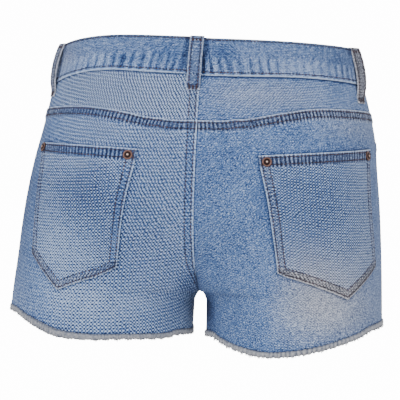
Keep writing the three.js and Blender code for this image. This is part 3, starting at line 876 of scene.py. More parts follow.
def twill_masks(side, shell, wash_and_shade, grey, strength=1.0, **seams):
    """What the denim reads at each point. The twill's rows show less toward the sides."""
    rows = strength * WEAVE[side]["rows"] * (1 - 0.7 * smooth((np.abs(shell.base[..., 0]) - 112) / 46))
    return {**WEAVE[side], "rows": rows, "wash_and_shade": wash_and_shade, "grey": grey, **seams}


# Widths of the felled seams, and distances of their two rows of stitches from the edge
YOKE_FOLD = 9.6
YOKE_FOLD_ROWS = (2.5, 8.2)
MIDDLE_FOLD = 9.8
MIDDLE_FOLD_ROWS = (2.5, 8.6)
# Ridges and contrast of the middle back seam, which is flatter than the yoke seam
MIDDLE_FOLD_LOOK = {"rope": 0.25, "contrast": 0.3}
back_panels = {}
for side in (-1, 1):
    def place(u, v, side=side):
        turn = 2 * u
        return skin(side, turn, panel_z(yoke_z(side, turn) - HALF_GAP, side, turn, v))

    shell = Shell(place, spread(190, 1.6, 0.6), spread(168, 1.8, 0.5))
    wash_and_shade, grey = fades_and_shade(shell.base)
    seam = np.broadcast_to(shell.start[:1] + 40 * side, wash_and_shade.shape)
    lift, shade, fold = seam_fold(shell.top, seam, YOKE_FOLD)
    above_crotch = smooth((shell.base[..., 2] - CROTCH_Z) / 12)
    if side < 0:
        middle_fold = seam_fold(shell.start, shell.top[:, :1], MIDDLE_FOLD, **MIDDLE_FOLD_LOOK)
        fold_lift, fold_wash_and_shadow, fold_here = (part * above_crotch for part in middle_fold)
        lift = np.maximum(lift, fold_lift)
        seam = np.where(fold > fold_here, seam, shell.top[:, :1])
        fold = np.maximum(fold, fold_here)
    else:
        # Painted shadow along the edge where the left panel's felled fold lies over this one
        fold_wash_and_shadow = -0.35 * bump(shell.start, 0.0, 0.9) * above_crotch
        fold_wash_and_shadow += 0.07 * uneven(shell.top, 5.0, 2.0) * bump(shell.start, 2.5, 3.0)
    side_wave = uneven(shell.top, 4.6, 4 + side)
    side_seam = bump(shell.end, 0, 5)
    wash_and_shade += shade + fold_wash_and_shadow + 0.12 * side_wave * side_seam + 0.2 * bump(shell.end, 0.4, 0.8)
    lift += 0.16 * side_wave * side_seam - 0.3 * bump(shell.end, 0, 0.8)
    # Painted shade on the inner thigh in a band along the inseam below the crotch; its wave is the seam's puckers
    inseam = bump(shell.start, 0, 5) * (1 - above_crotch)
    wash_and_shade += (0.1 * uneven(shell.top, 4.2, 3.0) - 0.34) * inseam
    wash_and_shade -= 0.4 * bump(shell.bottom, 0.4, 0.8)
    lift += 0.25 * uneven(shell.start, 7.0, 1.1 + side) * bump(shell.bottom, 0, 4)
    masks = twill_masks(side, shell, wash_and_shade, grey, seam=seam, fold=fold)
    name = f"back_panel_{side_name[side]}"
    piece = shell.build(f"{name}_cloth", lift, -CLOTH, masks, denim)
    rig.replaces(piece, name)
    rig.slot(piece, "denim")
    rows = shell.lines(shell.top, YOKE_FOLD_ROWS, False)
    if side < 0:
        rows += shell.lines(shell.start, MIDDLE_FOLD_ROWS, True, shell.base[:, 0, 2] > CROTCH_Z + 8)
    back_panels[side] = {"piece": piece, "stitches": sew(f"{name}_stitches", rows), "cut": shell.cut()}

# Back yoke
# Two shaped pieces between the waistband and the back panels, higher at the middle than at the
# sides. Their lower edges lie under the panels' felled seam and their upper edges in the waistband.
YOKE_ROWS = 2.0
# A turn, then the heights there of the waistband's top left and right, and of its bottom left and right
BAND_EDGES = np.array([
    (0, 17.2, 17.2, -19, -19),
    (1, 18, 16.8, -17.6, -19),
    (1.4, 18, 16.6, -16, -17.4),
    (2, 7.5, 14.5, -31.5, -20.5),
    (2.6, 3, 4, -33, -31.5),
    (3, -2, -2, -37.5, -37.5),
    (4, -3, -3, -38.5, -38.5),
], float)


def band_top(side, turn):
    return either(side < 0, BAND_EDGES, turn, 1)


def band_bottom(side, turn):
    return either(side < 0, BAND_EDGES, turn, 3)


for side in (-1, 1):
    def place(u, v, side=side):
        turn = 2 * u
        top = band_bottom(side, turn) - HALF_GAP
        return skin(side, turn, top + (yoke_z(side, turn) + HALF_GAP - top) * v)

    shell = Shell(place, spread(170, 1.4, 0.6), spread(50, 0.6, 0.6))
    wash_and_shade, grey = fades_and_shade(shell.base)
    lift = np.zeros(wash_and_shade.shape)
    seam = shell.top[:, :1] + 20
    if side < 0:
        fold_lift, fold_wash_and_shadow, fold = seam_fold(shell.start, seam, MIDDLE_FOLD, **MIDDLE_FOLD_LOOK)
        lift += fold_lift
    else:
        # Painted shadow along the edge where the left yoke's felled fold lies over this one
        fold_wash_and_shadow, fold = -0.35 * bump(shell.start, 0, 0.9), 0.0
    under_band = uneven(shell.start[:1], 8.2, 2.2 + side) * bump(shell.top, 0, 4)
    over_panel = uneven(shell.start[-1:], 4, side) * bump(shell.bottom, 1.5, 2.5)
    # Painted shadow under the waistband's lower edge and along the back panel's raised seam
    wash_and_shade += fold_wash_and_shadow - 0.7 * bump(shell.top, 0.3, 1.5) + 0.05 * under_band
    wash_and_shade += 0.06 * over_panel - 0.4 * bump(shell.bottom, 0, 0.9)
    lift += 0.15 * under_band
    masks = twill_masks(side, shell, wash_and_shade, grey, YOKE_ROWS, seam=seam, fold=fold)
    name = f"back_yoke_{side_name[side]}"
    piece = shell.build(f"{name}_cloth", lift, -CLOTH, masks, denim)
    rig.replaces(piece, name)
    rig.slot(piece, "denim")
    sewn_on = {}
    if side < 0:
        rows = shell.lines(shell.start, MIDDLE_FOLD_ROWS, True)
        sewn_on["with_pieces"] = [sew(f"{name}_stitches", rows)]
    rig.sheet(piece, held="draped", **sewn_on, **shell.cut())

# Front panels and pocket facings
# Two plain panels that the photograph doesn't show, with a scooped pocket opening at the upper
# outer corner. The facing is the piece of cloth that closes the opening from behind.
OPENING_TURN = 2.62
OPENING_SIDE_Z = {-1: -76.5, 1: -72.5}
OPENING_COLUMNS = 46
OPENING_ROWS = (1.7, 7.0)
FRONT_START = 2 + 1e-6
FRONT_ROWS = 0.6
FLY_ROWS = (30.0, 35.0)
FLY_END = -128.0
# The facing lies behind the front with a gap, under the back's edge at the side. Its top goes up
# behind the waistband and its bottom lies below the opening
INNER_GAP = 0.8
FACING_TURNS = (1.97, 2.77)
FACING_TUCK = 5.0
FACING_DROP = 14.0


def opening_top(side, turn):
    top = band_bottom(side, turn) - HALF_GAP
    across = np.clip((OPENING_TURN - turn) / (OPENING_TURN - 2), 0, 1)
    side_top = OPENING_SIDE_Z[side]
    scoop = side_top + (top - side_top) * (1 - np.sqrt(np.maximum(1 - (1 - across) ** 2.4, 0)))
    return np.where(turn >= OPENING_TURN, top, scoop)


facing_denim = denim_material("facing_denim", 0.32)
for side in (-1, 1):
    def place(u, v, side=side):
        turn = FRONT_START + (4 - FRONT_START) * u
        return skin(side, turn, panel_z(opening_top(side, turn), side, turn, v))

    opening_share = (OPENING_TURN - 2) / 2
    opening_us = opening_share * (1 - (1 - np.linspace(0, 1, OPENING_COLUMNS)) ** 1.9)
    us = np.concatenate([opening_us, opening_share + (1 - opening_share) * spread(90, 0.4, 1.2)[1:]])
    shell = Shell(place, us, spread(80, 1.6, 0.4))
    wash_and_shade, grey = fades_and_shade(shell.base)
    in_opening = 1 - smooth((shell.start - shell.start[0, OPENING_COLUMNS - 1]) / 6)
    lift, shade, fold = (part * in_opening for part in seam_fold(shell.top, shell.start[:1], 8.5, rope=0.16))
    wash_and_shade += shade + 0.12 * uneven(shell.top, 4.6, 1 + side) * bump(shell.start, 0, 4)
    # The second term is painted shadow under the waistband's lower edge, away from the pocket opening
    wash_and_shade -= 0.3 * bump(shell.end, 0, 0.8) + 0.3 * bump(shell.top, 0, 1.4) * (1 - in_opening)
    wash_and_shade -= 0.22 * bump(shell.bottom, 0.6, 1.1)
    masks = twill_masks(side, shell, wash_and_shade, grey, FRONT_ROWS, seam=shell.start[:1], fold=fold)
    name = f"front_panel_{side_name[side]}"
    piece = shell.build(f"{name}_cloth", lift, -CLOTH, masks, denim)
    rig.replaces(piece, name)
    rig.slot(piece, "denim")
    rows = shell.lines(shell.top, OPENING_ROWS, False, slice(0, OPENING_COLUMNS))
    if side < 0:
        rows += shell.lines(shell.end, FLY_ROWS, True, shell.base[:, -1, 2] > FLY_END)
    stitches = sew(f"{name}_stitches", rows)
    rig.sheet(piece, held="draped", with_pieces=[stitches], **shell.cut())

    def place(u, v, side=side):
        turn = FACING_TURNS[0] + (FACING_TURNS[1] - FACING_TURNS[0]) * u
        top = band_bottom(side, turn) + FACING_TUCK
        bottom = OPENING_SIDE_Z[side] - FACING_DROP
        return skin(side, turn, top + (bottom - top) * v)

    shell = Shell(place, spread(44), spread(36))
    wash_and_shade, grey = fades_and_shade(shell.base)
    masks = twill_masks(side, shell, wash_and_shade, grey, FRONT_ROWS)
    name = f"pocket_facing_{side_name[side]}"
    outer = -CLOTH - INNER_GAP
    piece = shell.build(f"{name}_cloth", np.full(wash_and_shade.shape, outer), outer - CLOTH, masks, facing_denim)
    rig.replaces(piece, name)
    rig.slot(piece, "denim_inner")
    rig.sheet(piece, held="draped", **shell.cut())

# Fly facing
# A strip of denim folded behind the meeting edges of the two fronts, from the waistband's lower
# edge down. It is sewn in along the middle front seam.
FLY = {"half_width": 19.0, "bottom": -150.0, "below_band": 1.0}
# How often turn_at halves its range, which leaves an error far below a thread
HALVINGS = 26


def turn_at(side, face, x, z):
    """The turn at which the back or front reaches x from the middle plane, found by halving a range."""
    low = np.zeros(np.broadcast(x, z).shape)
    high = low + 2
    for _ in range(HALVINGS):
        middle = (low + high) / 2
        turn = middle if face == "back" else 4 - middle
        short = np.abs(skin(side, turn, z)[..., 0]) < np.abs(x)
        low, high = np.where(short, middle, low), np.where(short, high, middle)
    return low if face == "back" else 4 - low


def place(u, v):
    side = np.where(u < 0.5, -1, 1)
    x = np.abs(u - 0.5) * 2 * FLY["half_width"]
    top = band_bottom(1, 4) - FLY["below_band"]
    z = top + (FLY["bottom"] - top) * v
    return skin(side, turn_at(side, "front", x, z), z)


shell = Shell(place, spread(24), spread(60))
wash_and_shade, grey = fades_and_shade(shell.base)
outer = -CLOTH - INNER_GAP
masks = {"wash_and_shade": wash_and_shade, "grey": grey, **WEAVE[1]}
piece = shell.build("fly_facing_cloth", np.full(wash_and_shade.shape, outer), outer - CLOTH, masks, facing_denim)
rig.replaces(piece, "fly_facing")
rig.slot(piece, "denim_inner")
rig.sheet(piece, held="draped", **shell.cut())

# Waistband
# One long folded strip, sewn over the upper edges of the panels and yokes. Its lower edge is
# worn pale, and its lower half is puckered by the row of stitches that holds it.
BAND_OUT = 0.7
# The left end goes past the middle, and the right end dips behind it
BAND_OVERLAP = {"past": 12.0, "dip_start": 30.0, "dip_length": 9.0, "depth": 2.3}
BAND_COLUMNS = 761
BAND_ROW_ABOVE = 3.2
BAND_ROW_BELOW = 1.9
past_turn = 4 - float(turn_at(1, "front", BAND_OVERLAP["past"], np.array(float(band_top(1, 4)))))
band_reach = 4 + past_turn


def band_place(u, v):
    signed = -band_reach + 2 * band_reach * u
    side = np.where((signed < -4) | ((signed >= 0) & (signed <= 4)), 1, -1)
    turn = np.where(np.abs(signed) > 4, 8 - np.abs(signed), np.abs(signed))
    top = band_top(side, turn)
    return skin(side, turn, top + (band_bottom(side, turn) + HALF_GAP - top) * v)


band = Shell(band_place, np.linspace(0, 1, BAND_COLUMNS), spread(40, 0.8, 1.3))
wash_and_shade, grey = fades_and_shade(band.base)
under = (band.u > 0.5) & (band.base[..., 1] > 0)
into_dip = smooth((BAND_OVERLAP["dip_start"] - band.base[..., 0]) / BAND_OVERLAP["dip_length"])
dip = np.where(under, BAND_OVERLAP["depth"] * into_dip, 0)
pucker = uneven(band.run[-1:], 8.6, 0.7)
lower_half = smooth((band.top - 14) / 8) * smooth(band.bottom / 2.4)
upper_pucker = uneven(band.run[:1], 6.3, 2.9) * bump(band.top, 5, 5)
lift = BAND_OUT + 0.5 * smooth(band.bottom / 1.2) * smooth(band.top / 1.2) + 0.42 * pucker * lower_half
lift += 0.14 * upper_pucker - 0.2 * bump(band.bottom, BAND_ROW_ABOVE, 0.7)
lift -= 0.15 * bump(band.top, 2.2, 0.7) + dip
wash_and_shade += (0.2 - 0.44 * smooth(-1.8 * pucker)) * lower_half + 0.09 * upper_pucker
wash_and_shade += 0.65 * bump(band.bottom, 0.4, 0.75) - 0.25 * bump(band.bottom, BAND_ROW_ABOVE, 0.8)
wash_and_shade -= 0.2 * (bump(band.top, 2.0, 0.8) + bump(band.top, 0, 0.8))
masks = {"wash_and_shade": wash_and_shade, "grey": grey + 0.1, **WEAVE[1]}
piece = band.build("waistband_cloth", lift, -CLOTH - dip, masks, denim)
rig.replaces(piece, "waistband")
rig.slot(piece, "denim")
rows = [band.line(band.bottom, BAND_ROW_ABOVE, False), band.line(band.top, BAND_ROW_BELOW, False)]
stitches = sew("waistband_stitches", rows)
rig.sheet(piece, held="draped", with_pieces=[stitches], **band.cut())
waistband = piece

# Back pockets
# A patch on each side with a folded top hem and a pointed bottom, held by two rows of stitches.
# Their edges are worn pale, and the cloth just under the hem has kept its blue.
# Shadow is painted on the back panel round each pocket.
POCKET_GAP = 0.4
POCKET_HEM = 10.5
# Height, then distance of the inner and the outer side from the middle plane
POCKET_SIDES = {
    -1: ((-228, 73, 158), (-191, 70, 156), (-145, 65, 155), (-104, 56.5, 153.5), (-88, 54.5, 153.5)),
    1: ((-226, 83, 171.5), (-190, 79, 170.5), (-135, 69, 164.5), (-100, 60, 162), (-82, 57, 161)),
}
# Heights of the top and the corners at the inner and the outer side. The tip: share across, height
POCKET_ENDS = {
    -1: {"top": (-91.0, -86.5), "corner": (-203.0, -194.0), "tip": (0.6, -227.0)},
    1: {"top": (-93.5, -81.5), "corner": (-202.0, -194.0), "tip": (0.6, -225.0)},
}
# Reach in mm and strength of the painted shadow round a pocket
POCKET_SHADE = (1.9, 0.34)
POCKET_WEAVE = {
    -1: {"rows": 0.75, "spacing": 0.003, "grain": 0.86},
    1: {"rows": 0.7, "spacing": 0.0027, "grain": 0.9},
}
POCKET_HEM_ROWS = (2.4, 9.1)
POCKET_ROWS = (2.4, 8.6)
for side in (-1, 1):
    ends = POCKET_ENDS[side]
    sides = np.array(POCKET_SIDES[side], float)
    tip_share, tip_z = ends["tip"]

    def place(u, v, side=side, ends=ends, sides=sides, tip_share=tip_share, tip_z=tip_z):
        inner_z, outer_z = ends["corner"]
        toward = inner_z + (tip_z - inner_z) * np.minimum(u / tip_share, 1)
        beyond = tip_z + (outer_z - tip_z) * np.maximum((u - tip_share) / (1 - tip_share), 0)
        bottom = np.where(u < tip_share, toward, beyond)
        top = ends["top"][0] + (ends["top"][1] - ends["top"][0]) * u
        z = top + (bottom - top) * v
        inner = turn_at(side, "back", along(sides, z, 1), z)
        outer = turn_at(side, "back", along(sides, z, 2), z)
        return skin(side, inner + (outer - inner) * u, z)

    left_us = spread(80, 1.4, 0) * tip_share
    us = np.concatenate([left_us, tip_share + (1 - tip_share) * spread(60, 0, 1.4)[1:]])
    shell = Shell(place, us, spread(150, 1.6, 1.4))
    wash_and_shade, grey = fades_and_shade(shell.base)
    slope = np.abs(np.gradient(shell.base[-1, :, 2], shell.start[-1]))
    to_bottom = shell.bottom * np.cos(np.arctan(slope))[None, :]
    rim = np.minimum(shell.start, shell.end)
    hem_lift, hem_wash, fold = seam_fold(shell.top, shell.start[:1], POCKET_HEM, 0.7, 0.22)
    below_hem = smooth((shell.top - POCKET_HEM) / 2)
    run = np.where(to_bottom < rim, shell.start[-1:], shell.top[:, :1])
    edge = np.minimum(rim, to_bottom)
    wave = uneven(run + 0.4 * edge, PUCKER_SPACING, 0)
    rope_band = smooth(edge / 1.0) * (1 - smooth((edge - 8.2) / 2)) * below_hem
    rows = sum(bump(edge, distance, 0.6) for distance in POCKET_ROWS) * below_hem
    at_bottom = smooth((9 - to_bottom) / 3) * below_hem
    lift = POCKET_GAP + CLOTH - 0.5 * (1 - smooth(edge / 0.9)) + hem_lift + 0.2 * wave * rope_band
    lift += 0.25 * at_bottom * smooth(edge / 1.5) - 0.14 * rows
    wash_and_shade += hem_wash - 0.3 * rows - 0.17 * at_bottom
    seam = np.where(fold > rope_band, shell.start[:1], run + 0.4 * edge)
    fold = np.maximum(fold, (0.45 + 0.15 * at_bottom) * rope_band)
    wash_and_shade += 0.6 * bump(edge, 0.4, 0.85) * below_hem
    grey += 0.25 * at_bottom + 0.1 * rope_band
    masks = {"wash_and_shade": wash_and_shade, "grey": grey, "seam": seam, "fold": fold, **POCKET_WEAVE[side]}
    name = f"back_pocket_{side_name[side]}"
    piece = shell.build(f"{name}_cloth", lift, POCKET_GAP, masks, denim)
    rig.replaces(piece, name)
    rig.slot(piece, "denim")
    rows = shell.lines(shell.top, POCKET_HEM_ROWS, False)
    for distance in POCKET_ROWS:
        left, left_normal = shell.line(shell.start, distance, True)
        right, right_normal = shell.line(shell.end, distance, True)
        point, point_normal = shell.line(to_bottom, distance, False)
        grid_rows = np.arange(len(left))
        left_at, right_at = (crossing(table, distance).astype(int) for table in (shell.start, shell.end))
        left_side = (to_bottom[grid_rows, left_at] > distance) & (shell.top[:, 0] > 2)
        right_side = (to_bottom[grid_rows, right_at] > distance) & (shell.top[:, -1] > 2)
        inner = (shell.start[-1] > distance) & (shell.end[-1] > distance)
        rows.append((
            np.concatenate([left[left_side], point[inner], right[right_side][::-1]]),
            np.concatenate([left_normal[left_side], point_normal[inner], right_normal[right_side][::-1]]),
        ))
    stitches = sew(f"{name}_stitches", rows)
    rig.sheet(piece, held="draped", with_pieces=[stitches], **shell.cut())
    # Painted shadow on the back panel round the pocket's edge
    outline = np.concatenate([shell.base[0], shell.base[:, -1], shell.base[-1], shell.base[:, 0]])
    paint_shadow_beside(back_panels[side]["piece"], outline, *POCKET_SHADE)

# Rivets
# A copper-coloured cap with a sunken ring and a raised nub at each top corner of the back pockets,
# set through the hem. The metal is dulled brown in its hollows.
# Shade round each cap's foot and a highlight on its nub are painted into its tone.
LATHE_TURNS = 36
# X and height of each rivet's middle
RIVETS = {
    "left_inner": (-63, -97.3),
    "left_outer": (-150.5, -91.5),
    "right_inner": (67, -99.3),
    "right_outer": (158, -88.5),
}
# Radius and height in mm, and shade from 0 dark to 1 bright. The dark first rows are painted shade round the foot, and
# the bright last rows a painted highlight on the nub.
RIVET_PROFILE = (
    (4.5, 0.0, 0.0), (4.7, 0.35, 0.05), (4.5, 0.8, 0.4), (4.0, 1.1, 0.75), (3.4, 1.1, 0.6), (2.9, 0.75, 0.1),
    (2.2, 0.6, 0.0), (1.8, 0.8, 0.0), (1.4, 1.5, 0.3), (0.8, 2.0, 0.9), (0.0, 2.1, 1.1),
)
# The folded hem under a rivet is this much thicker than the pocket's cloth
HEM_EXTRA = 0.75
# The top stop is the near white of the painted highlight on the nub
COPPER_STOPS = (
    (0.0, colour(26, 18, 20)),
    (0.45, colour(84, 58, 54)),
    (0.85, colour(146, 112, 100)),
    (1.0, colour(236, 220, 208)),
)


def copper_material():
    """Dull copper: brown in the hollows, pinkish on the rims, lightly scuffed. Its near white top tone is the painted
    highlight on the rivets' nubs.
    """
    material, n, shader = new_material("copper")
    place = n.place()
    tone = n.sum(n.attribute("shade"), n.noise_about_zero(place, 900.0, 0.5))
    n.put(shader["Base Color"], n.ramp(tone, COPPER_STOPS))
    n.put(shader["Roughness"], n.sum(0.42, n.noise_about_zero(place, 500.0, 0.3)))
    shader["Metallic"].default_value = 0.75
    return material


def surface_spot(face, x, z):
    """A point on the back or front with its outward normal, from x and height in mm."""
    x, z = np.broadcast_arrays(np.asarray(x, float), np.asarray(z, float))
    side = np.where(x < 0, -1.0, 1.0)

    def on_skin(x, z):
        return skin(side, turn_at(side, face, x, z), z)

    across = on_skin(x + 1.5, z) - on_skin(x - 1.5, z)
    down = on_skin(x, z - 2) - on_skin(x, z + 2)
    normal = unit(np.cross(across, down))
    return on_skin(x, z), -normal if face == "back" else normal


copper = copper_material()


def lathed(name, profile, point, normal, lift):
    """A turned metal part standing on the cloth."""
    across = unit(np.cross(normal, (0, 0, 1)))
    upward = np.cross(across, normal)
    points, shade, faces = [], [], []
    for radius, height, tone in profile:
        for k in range(LATHE_TURNS):
            angle = 2 * math.pi * k / LATHE_TURNS
            out = across * math.cos(angle) + upward * math.sin(angle)
            points.append(point + normal * (lift + height) + out * max(radius, 0.01))
            shade.append(tone)
    for ring in range(0, (len(profile) - 1) * LATHE_TURNS, LATHE_TURNS):
        for k in range(LATHE_TURNS):
            n = (k + 1) % LATHE_TURNS
            faces.append((ring + k, ring + n, ring + LATHE_TURNS + n, ring + LATHE_TURNS + k))
    faces.append(tuple(range(LATHE_TURNS))[::-1])
    piece = fine_mesh(name, points, faces, copper, shade)
    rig.slot(piece, "copper")
    return piece


for name, (x, z) in RIVETS.items():
    point, normal = surface_spot("back", x, z)
    piece = lathed(f"rivet_{name}_cap", RIVET_PROFILE, point, normal, POCKET_GAP + CLOTH + HEM_EXTRA)
    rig.replaces(piece, f"rivet_{name}")

# Waist button
# A copper-coloured cap with a raised rim, on a shank. It closes the waistband at the middle front,
# set through the overlap of its two ends.
LAYER_GAP = 0.3
BUTTON_PROFILE = (
    (3.0, 0.0, 0.2), (3.0, 1.2, 0.2), (7.7, 1.4, 0.3), (8.3, 1.8, 0.5), (8.5, 2.3, 0.8), (8.1, 2.8, 0.95),
    (7.2, 2.95, 0.9), (6.6, 2.7, 0.5), (6.0, 2.6, 0.3), (5.2, 2.8, 0.7), (2.5, 3.15, 0.85), (0.0, 3.2, 0.85),
)
button_z = float(band_top(1, 4) + band_bottom(1, 4)) / 2
point, normal = surface_spot("front", 1, button_z)
piece = lathed("waist_button_cap", BUTTON_PROFILE, point, normal, BAND_OUT + LAYER_GAP)
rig.replaces(piece, "waist_button")

# Belt loops
# Five folded strips of denim. Each wraps over the waistband's top edge, stands off the band, and
# ends on the cloth below it under a bar of close stitches. Their edges are worn pale.
# Shadow is painted on the waistband beside each loop.
LOOP_HALF_WIDTH = 6.6
LOOP_THICKNESS = 1.5
LOOP_BOW = 4.2
LOOP_STEPS = 70
LOOP_COLUMNS = 23
# Face, x at the top and the bottom, how far the loop reaches above and below the band, greyness, and
# how far it is turned toward the back, in degrees
LOOPS = (
    ("belt_loop_middle_back", "back", -4.5, -6.0, 0.6, 15.0, 0.0, 0),
    ("belt_loop_left_back", "back", -142.0, -149.5, 0.6, 10.0, 0.35, 13),
    ("belt_loop_right_back", "back", 142.0, 151.5, 0.6, 17.0, 0.6, 26),
    ("belt_loop_left_front", "front", -84.0, -87.0, 0.6, 12.0, 0.1, 0),
    ("belt_loop_right_front", "front", 84.0, 87.0, 0.6, 12.0, 0.1, 0),
)
# The loop comes down onto the cloth from this share of its length, over the next share
LOOP_LANDING = (0.72, 0.16)
# Columns of its two rows of stitches, and grid rows of the close stitches at its end and its top
LOOP_SEAMS = (4, 18)
LOOP_BARS = (-6, -5, -4, -3, -2, 24, 25, 26)
# Reach in mm and strength of the shadow painted on the band beside a loop
LOOP_SHADE = (3.5, 0.4)
# The wrap over the band's edge: height over the edge, then outer and inner distance from the skin
LOOP_WRAP = np.array([
    (-5.0, -3.2, -1.6), (-1.5, -3.2, -1.6), (0.2, -3.0, -1.5), (0.9, -1.9, -0.9), (1.2, 0.0, -0.1),
    (1.1, 1.5, 0.6), (0.9, 2.2, 0.9),
])
WRAP_STEPS = 20
wrap_at = np.linspace(0, len(LOOP_WRAP) - 1, WRAP_STEPS)
wrap = [np.interp(wrap_at, range(len(LOOP_WRAP)), column) for column in LOOP_WRAP.T]
for name, face, top_x, bottom_x, above, below, greyness, twist in LOOPS:
    side = -1 if top_x < 0 else 1
    v = np.linspace(0, 1, LOOP_STEPS)
    x = top_x + (bottom_x - top_x) * v
    middle_turn = turn_at(side, face, x, np.zeros(LOOP_STEPS))
    edge_z = band_top(side, middle_turn)
    z = edge_z + above + (band_bottom(side, middle_turn) - below - edge_z - above) * v
    landed = smooth((v - LOOP_LANDING[0]) / LOOP_LANDING[1])
    inner = LAYER_GAP + BAND_OUT * (1 - landed)
    inner += LOOP_BOW * np.maximum(np.sin(math.pi * np.minimum(v / 0.9, 1)), 0) ** 0.8
    outer = inner + LOOP_THICKNESS
    x = np.concatenate([np.full(WRAP_STEPS, top_x), x])
    z = np.concatenate([edge_z[0] + wrap[0], z])
    outer = np.concatenate([wrap[1], outer])
    inner = np.concatenate([wrap[2], inner])
    point, normal = surface_spot(face, x, z)
    across = unit(np.stack([-normal[:, 1], normal[:, 0], 0 * x], -1))
    turned = math.radians(twist) * np.sin(math.pi * np.linspace(0, 1, len(x)))[:, None] ** 0.6
    across, normal = (
        across * np.cos(turned) + side * normal * np.sin(turned),
        normal * np.cos(turned) - side * across * np.sin(turned),
    )
    u = np.linspace(-1, 1, LOOP_COLUMNS)
    rounded = 0.5 * (1 - np.sqrt(np.maximum(1 - np.abs(u) ** 6, 0)))
    spine = np.cumsum(np.concatenate([[0], np.hypot(np.diff(z), np.diff(outer))]))
    ragged = 0.22 * uneven(spine, 7.0, top_x)[:, None] * np.sign(u)
    wide = (u * LOOP_HALF_WIDTH)[None, :] + ragged * (np.abs(u) > 0.6)
    from_edge = (1 - np.abs(u)) * LOOP_HALF_WIDTH
    to_end = (spine[-1] - spine)[:, None]
    streak = uneven(spine, 3.1, bottom_x)[:, None] * smooth(from_edge / 2)
    rows_at = bump(from_edge, 2.5, 0.6)[None, :]
    lift = outer[:, None] - rounded - 0.14 * rows_at + 0.08 * streak
    base = point[:, None] + across[:, None] * wide[..., None]
    outer_grid = base + normal[:, None] * lift[..., None]
    inner_grid = base + normal[:, None] * np.broadcast_to(inner[:, None], lift.shape)[..., None]
    flat = np.stack(np.broadcast_arrays(wide, spine[:, None]), -1)
    wash_and_shade = -0.12 + 0.5 * bump(from_edge, 0.2, 0.9) - 0.18 * rows_at + 0.2 * streak
    wash_and_shade += 0.1 * bump(from_edge, LOOP_HALF_WIDTH, 1.5) + 0.25 * bump(z - edge_z[0], 2.5, 1.2)[:, None]
    wash_and_shade += 0.5 * bump(to_end, 0.4, 1.0) - 0.25 * bump(to_end, 4.0, 2.2)
    masks = {"wash_and_shade": wash_and_shade, "grey": greyness + 0.2 + 0.2 * bump(from_edge, 0, 1.5), **WEAVE[1]}
    piece = cloth_mesh(f"{name}_cloth", outer_grid, inner_grid, flat, masks, denim, flip=face == "front")
    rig.replaces(piece, name)
    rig.slot(piece, "denim")
    normals = np.broadcast_to(normal[:, None], outer_grid.shape)
    seam = slice(WRAP_STEPS - 1, -3)
    rows = [(outer_grid[seam, column], normals[seam, column]) for column in LOOP_SEAMS]
    rows += [(outer_grid[row, 2:-2], normals[row, 2:-2]) for row in LOOP_BARS]
    stitches = sew(f"{name}_stitches", rows)
    on_band = (z < edge_z[0]) & (z > band_bottom(side, middle_turn)[-1])
    # Painted shadow on the waistband along both sides of the loop
    for edge in (-1, 1):
        beside = (point + across * edge * (LOOP_HALF_WIDTH + 2))[on_band]
        paint_shadow_beside(waistband, beside, *LOOP_SHADE)
    height = spine[-1] * MM
    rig.sheet(piece, flat=(2 * LOOP_HALF_WIDTH * MM, height), held="draped", with_pieces=[stitches])

# Frayed hems
# Each leg ends in a raw cut edge. The crosswise yarns have worn away to a soft grey-white roll,
# and the lengthwise ends hang from it in uneven tufts.
ROLL_COLUMNS = 600
# The roll's height and how far it tucks in above, the fringe's tufts, and where its roots are on the roll
FRAY = {"roll": 5.6, "tucked": 1.6, "tufts": 230, "strands_per_tuft": 8, "root": 0.75}
TUFT_LENGTHS = {-1: (2.0, 3.3), 1: (1.4, 3.8)}
# Spacing of the roll's ribs, their height and how much light and shade is painted on them
RIBS = {-1: (3.4, 0.25, 0.08), 1: (5.0, 0.55, 0.16)}
# Half thickness of a strand at its root, and the shares of its length where it has a ring of points
STRAND_HALF = 0.3
STRAND_RINGS = (0.0, 0.4, 0.75)
COTTON_SHADE = {-1: 0.22, 1: 0.28}
COTTON_STOPS = (
    (0.0, colour(56, 66, 92)),
    (0.3, colour(106, 112, 128)),
    (0.6, colour(158, 160, 168)),
    (1.0, colour(206, 205, 205)),
)


def cotton_material():
    """Raw cotton ends, grey white, with a little blue left at the roots."""
    material, n, shader = new_material("frayed_cotton")
    place = n.place()
    tone = n.sum(n.attribute("shade"), n.noise_about_zero(place, 500.0, 0.9))
    n.put(shader["Base Color"], n.ramp(tone, COTTON_STOPS))
    n.put(shader["Normal"], n.relief(n.noise(place, 900.0), 0.4))
    shader["Roughness"].default_value = 0.95
    return material


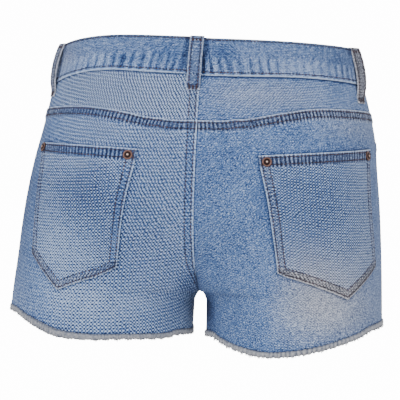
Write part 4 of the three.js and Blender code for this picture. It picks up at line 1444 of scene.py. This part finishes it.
cotton = cotton_material()
for side in (-1, 1):
    rib_spacing, rib_height, rib_shade = RIBS[side]

    def hem_wave(turn, side=side, rib_spacing=rib_spacing):
        s = EDGE_PER_TURN * turn
        return uneven(s, rib_spacing, 1.3 + side), uneven(s, 13.0, 3.3 + side)

    def place(u, v, side=side):
        turn = 4 * (u - np.floor(u))
        short, long_wave = hem_wave(turn)
        upper = fray_top(side, turn) + FRAY["tucked"]
        lower = hem_z(side, turn) + FRAY_HEIGHT - FRAY["roll"] - 0.5 * short - 0.5 * long_wave
        return skin(side, turn, upper + (lower - upper) * v)

    shell = Shell(place, np.arange(ROLL_COLUMNS) / ROLL_COLUMNS, np.linspace(0, 1, 11), wraps=True)
    short, long_wave = hem_wave(4 * shell.u)
    swell = np.sin(math.pi * np.clip((shell.v - 0.16) / 0.8, 0, 1)) ** 0.7
    lift = -0.5 + 0.4 * smooth((shell.v - 0.15) / 0.15)
    lift += (1.1 + rib_height * short + 0.3 * long_wave) * swell
    shade = COTTON_SHADE[side] + 0.3 * smooth((shell.v - 0.25) / 0.15) - 0.2 * bump(shell.v, 0.98, 0.08)
    # Painted light on the ribs and painted shade in the hollows between them, following their relief
    shade += rib_shade * (short - 0.6 * (short < -0.5))
    name = f"frayed_hem_{side_name[side]}"
    roll = shell.build(f"{name}_roll", lift, -CLOTH + 0.3 * shell.v, {"shade": shade}, cotton)
    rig.replaces(roll, name)
    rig.slot(roll, "frayed_edge")

    rng = np.random.default_rng(11 + side)
    tufts, strands = FRAY["tufts"], FRAY["strands_per_tuft"]
    tuft_u = (np.arange(tufts) + rng.uniform(-0.3, 0.3, tufts)) / tufts
    tuft_length = rng.uniform(*TUFT_LENGTHS[side], tufts)
    tuft_shade = rng.uniform(-0.2, 0.25, tufts)
    u = np.repeat(tuft_u, strands) + rng.normal(0, 0.0016, tufts * strands)
    root_v = np.full(u.shape, FRAY["root"])
    root = place(u, root_v)
    beside = unit(place(u + 0.001, root_v) - place(u - 0.001, root_v))
    outward = np.cross(beside, (0, 0, 1.0))
    outward *= np.sign(np.sum(outward * (root - (side * 90, 0, 0)) * (1, 1, 0), -1, keepdims=True))
    gather = (place(np.repeat(tuft_u, strands), root_v) - root) * 0.4
    length = np.repeat(tuft_length, strands) * rng.uniform(0.5, 1.1, len(u))
    lean = rng.normal(0, 0.7, len(u)) + np.repeat(rng.normal(0, 0.9, tufts), strands)
    out = rng.uniform(0.0, 1.3, len(u))
    points, faces, shade = [], [], []
    for k in range(len(u)):
        start = root[k] + outward[k] * rng.uniform(-0.8, 0.7)
        hang = gather[k] + outward[k] * out[k] - np.array((0, 0, length[k]))
        first = len(points)
        for t in STRAND_RINGS:
            middle = start + hang * t + beside[k] * lean[k] * t**1.6
            thick = STRAND_HALF * (1 - 0.45 * t)
            for corner in range(3):
                angle = corner * 2 * math.pi / 3 + k
                points.append(middle + (beside[k] * math.cos(angle) + outward[k] * math.sin(angle)) * thick)
        points.append(start + hang + beside[k] * lean[k])
        for corner in range(3):
            n = (corner + 1) % 3
            for low in (first, first + 3):
                faces.append((low + corner, low + n, low + 3 + n, low + 3 + corner))
            faces.append((first + 6 + corner, first + 6 + n, first + 9))
        shade.extend([0.56 + tuft_shade[k // strands] + 0.1 * math.sin(k)] * 10)
    fringe = fine_mesh(f"{name}_fringe", points, faces, cotton, shade)
    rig.slot(fringe, "frayed_edge")
    panel = back_panels[side]
    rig.sheet(panel["piece"], held="draped", with_pieces=[panel["stitches"], roll, fringe], **panel["cut"])

after_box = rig.bounds()
with open("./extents.json", "w") as file:
    file.write(str([[list(map(float, corner)) for corner in solid_box], [list(map(float, corner)) for corner in after_box]]))
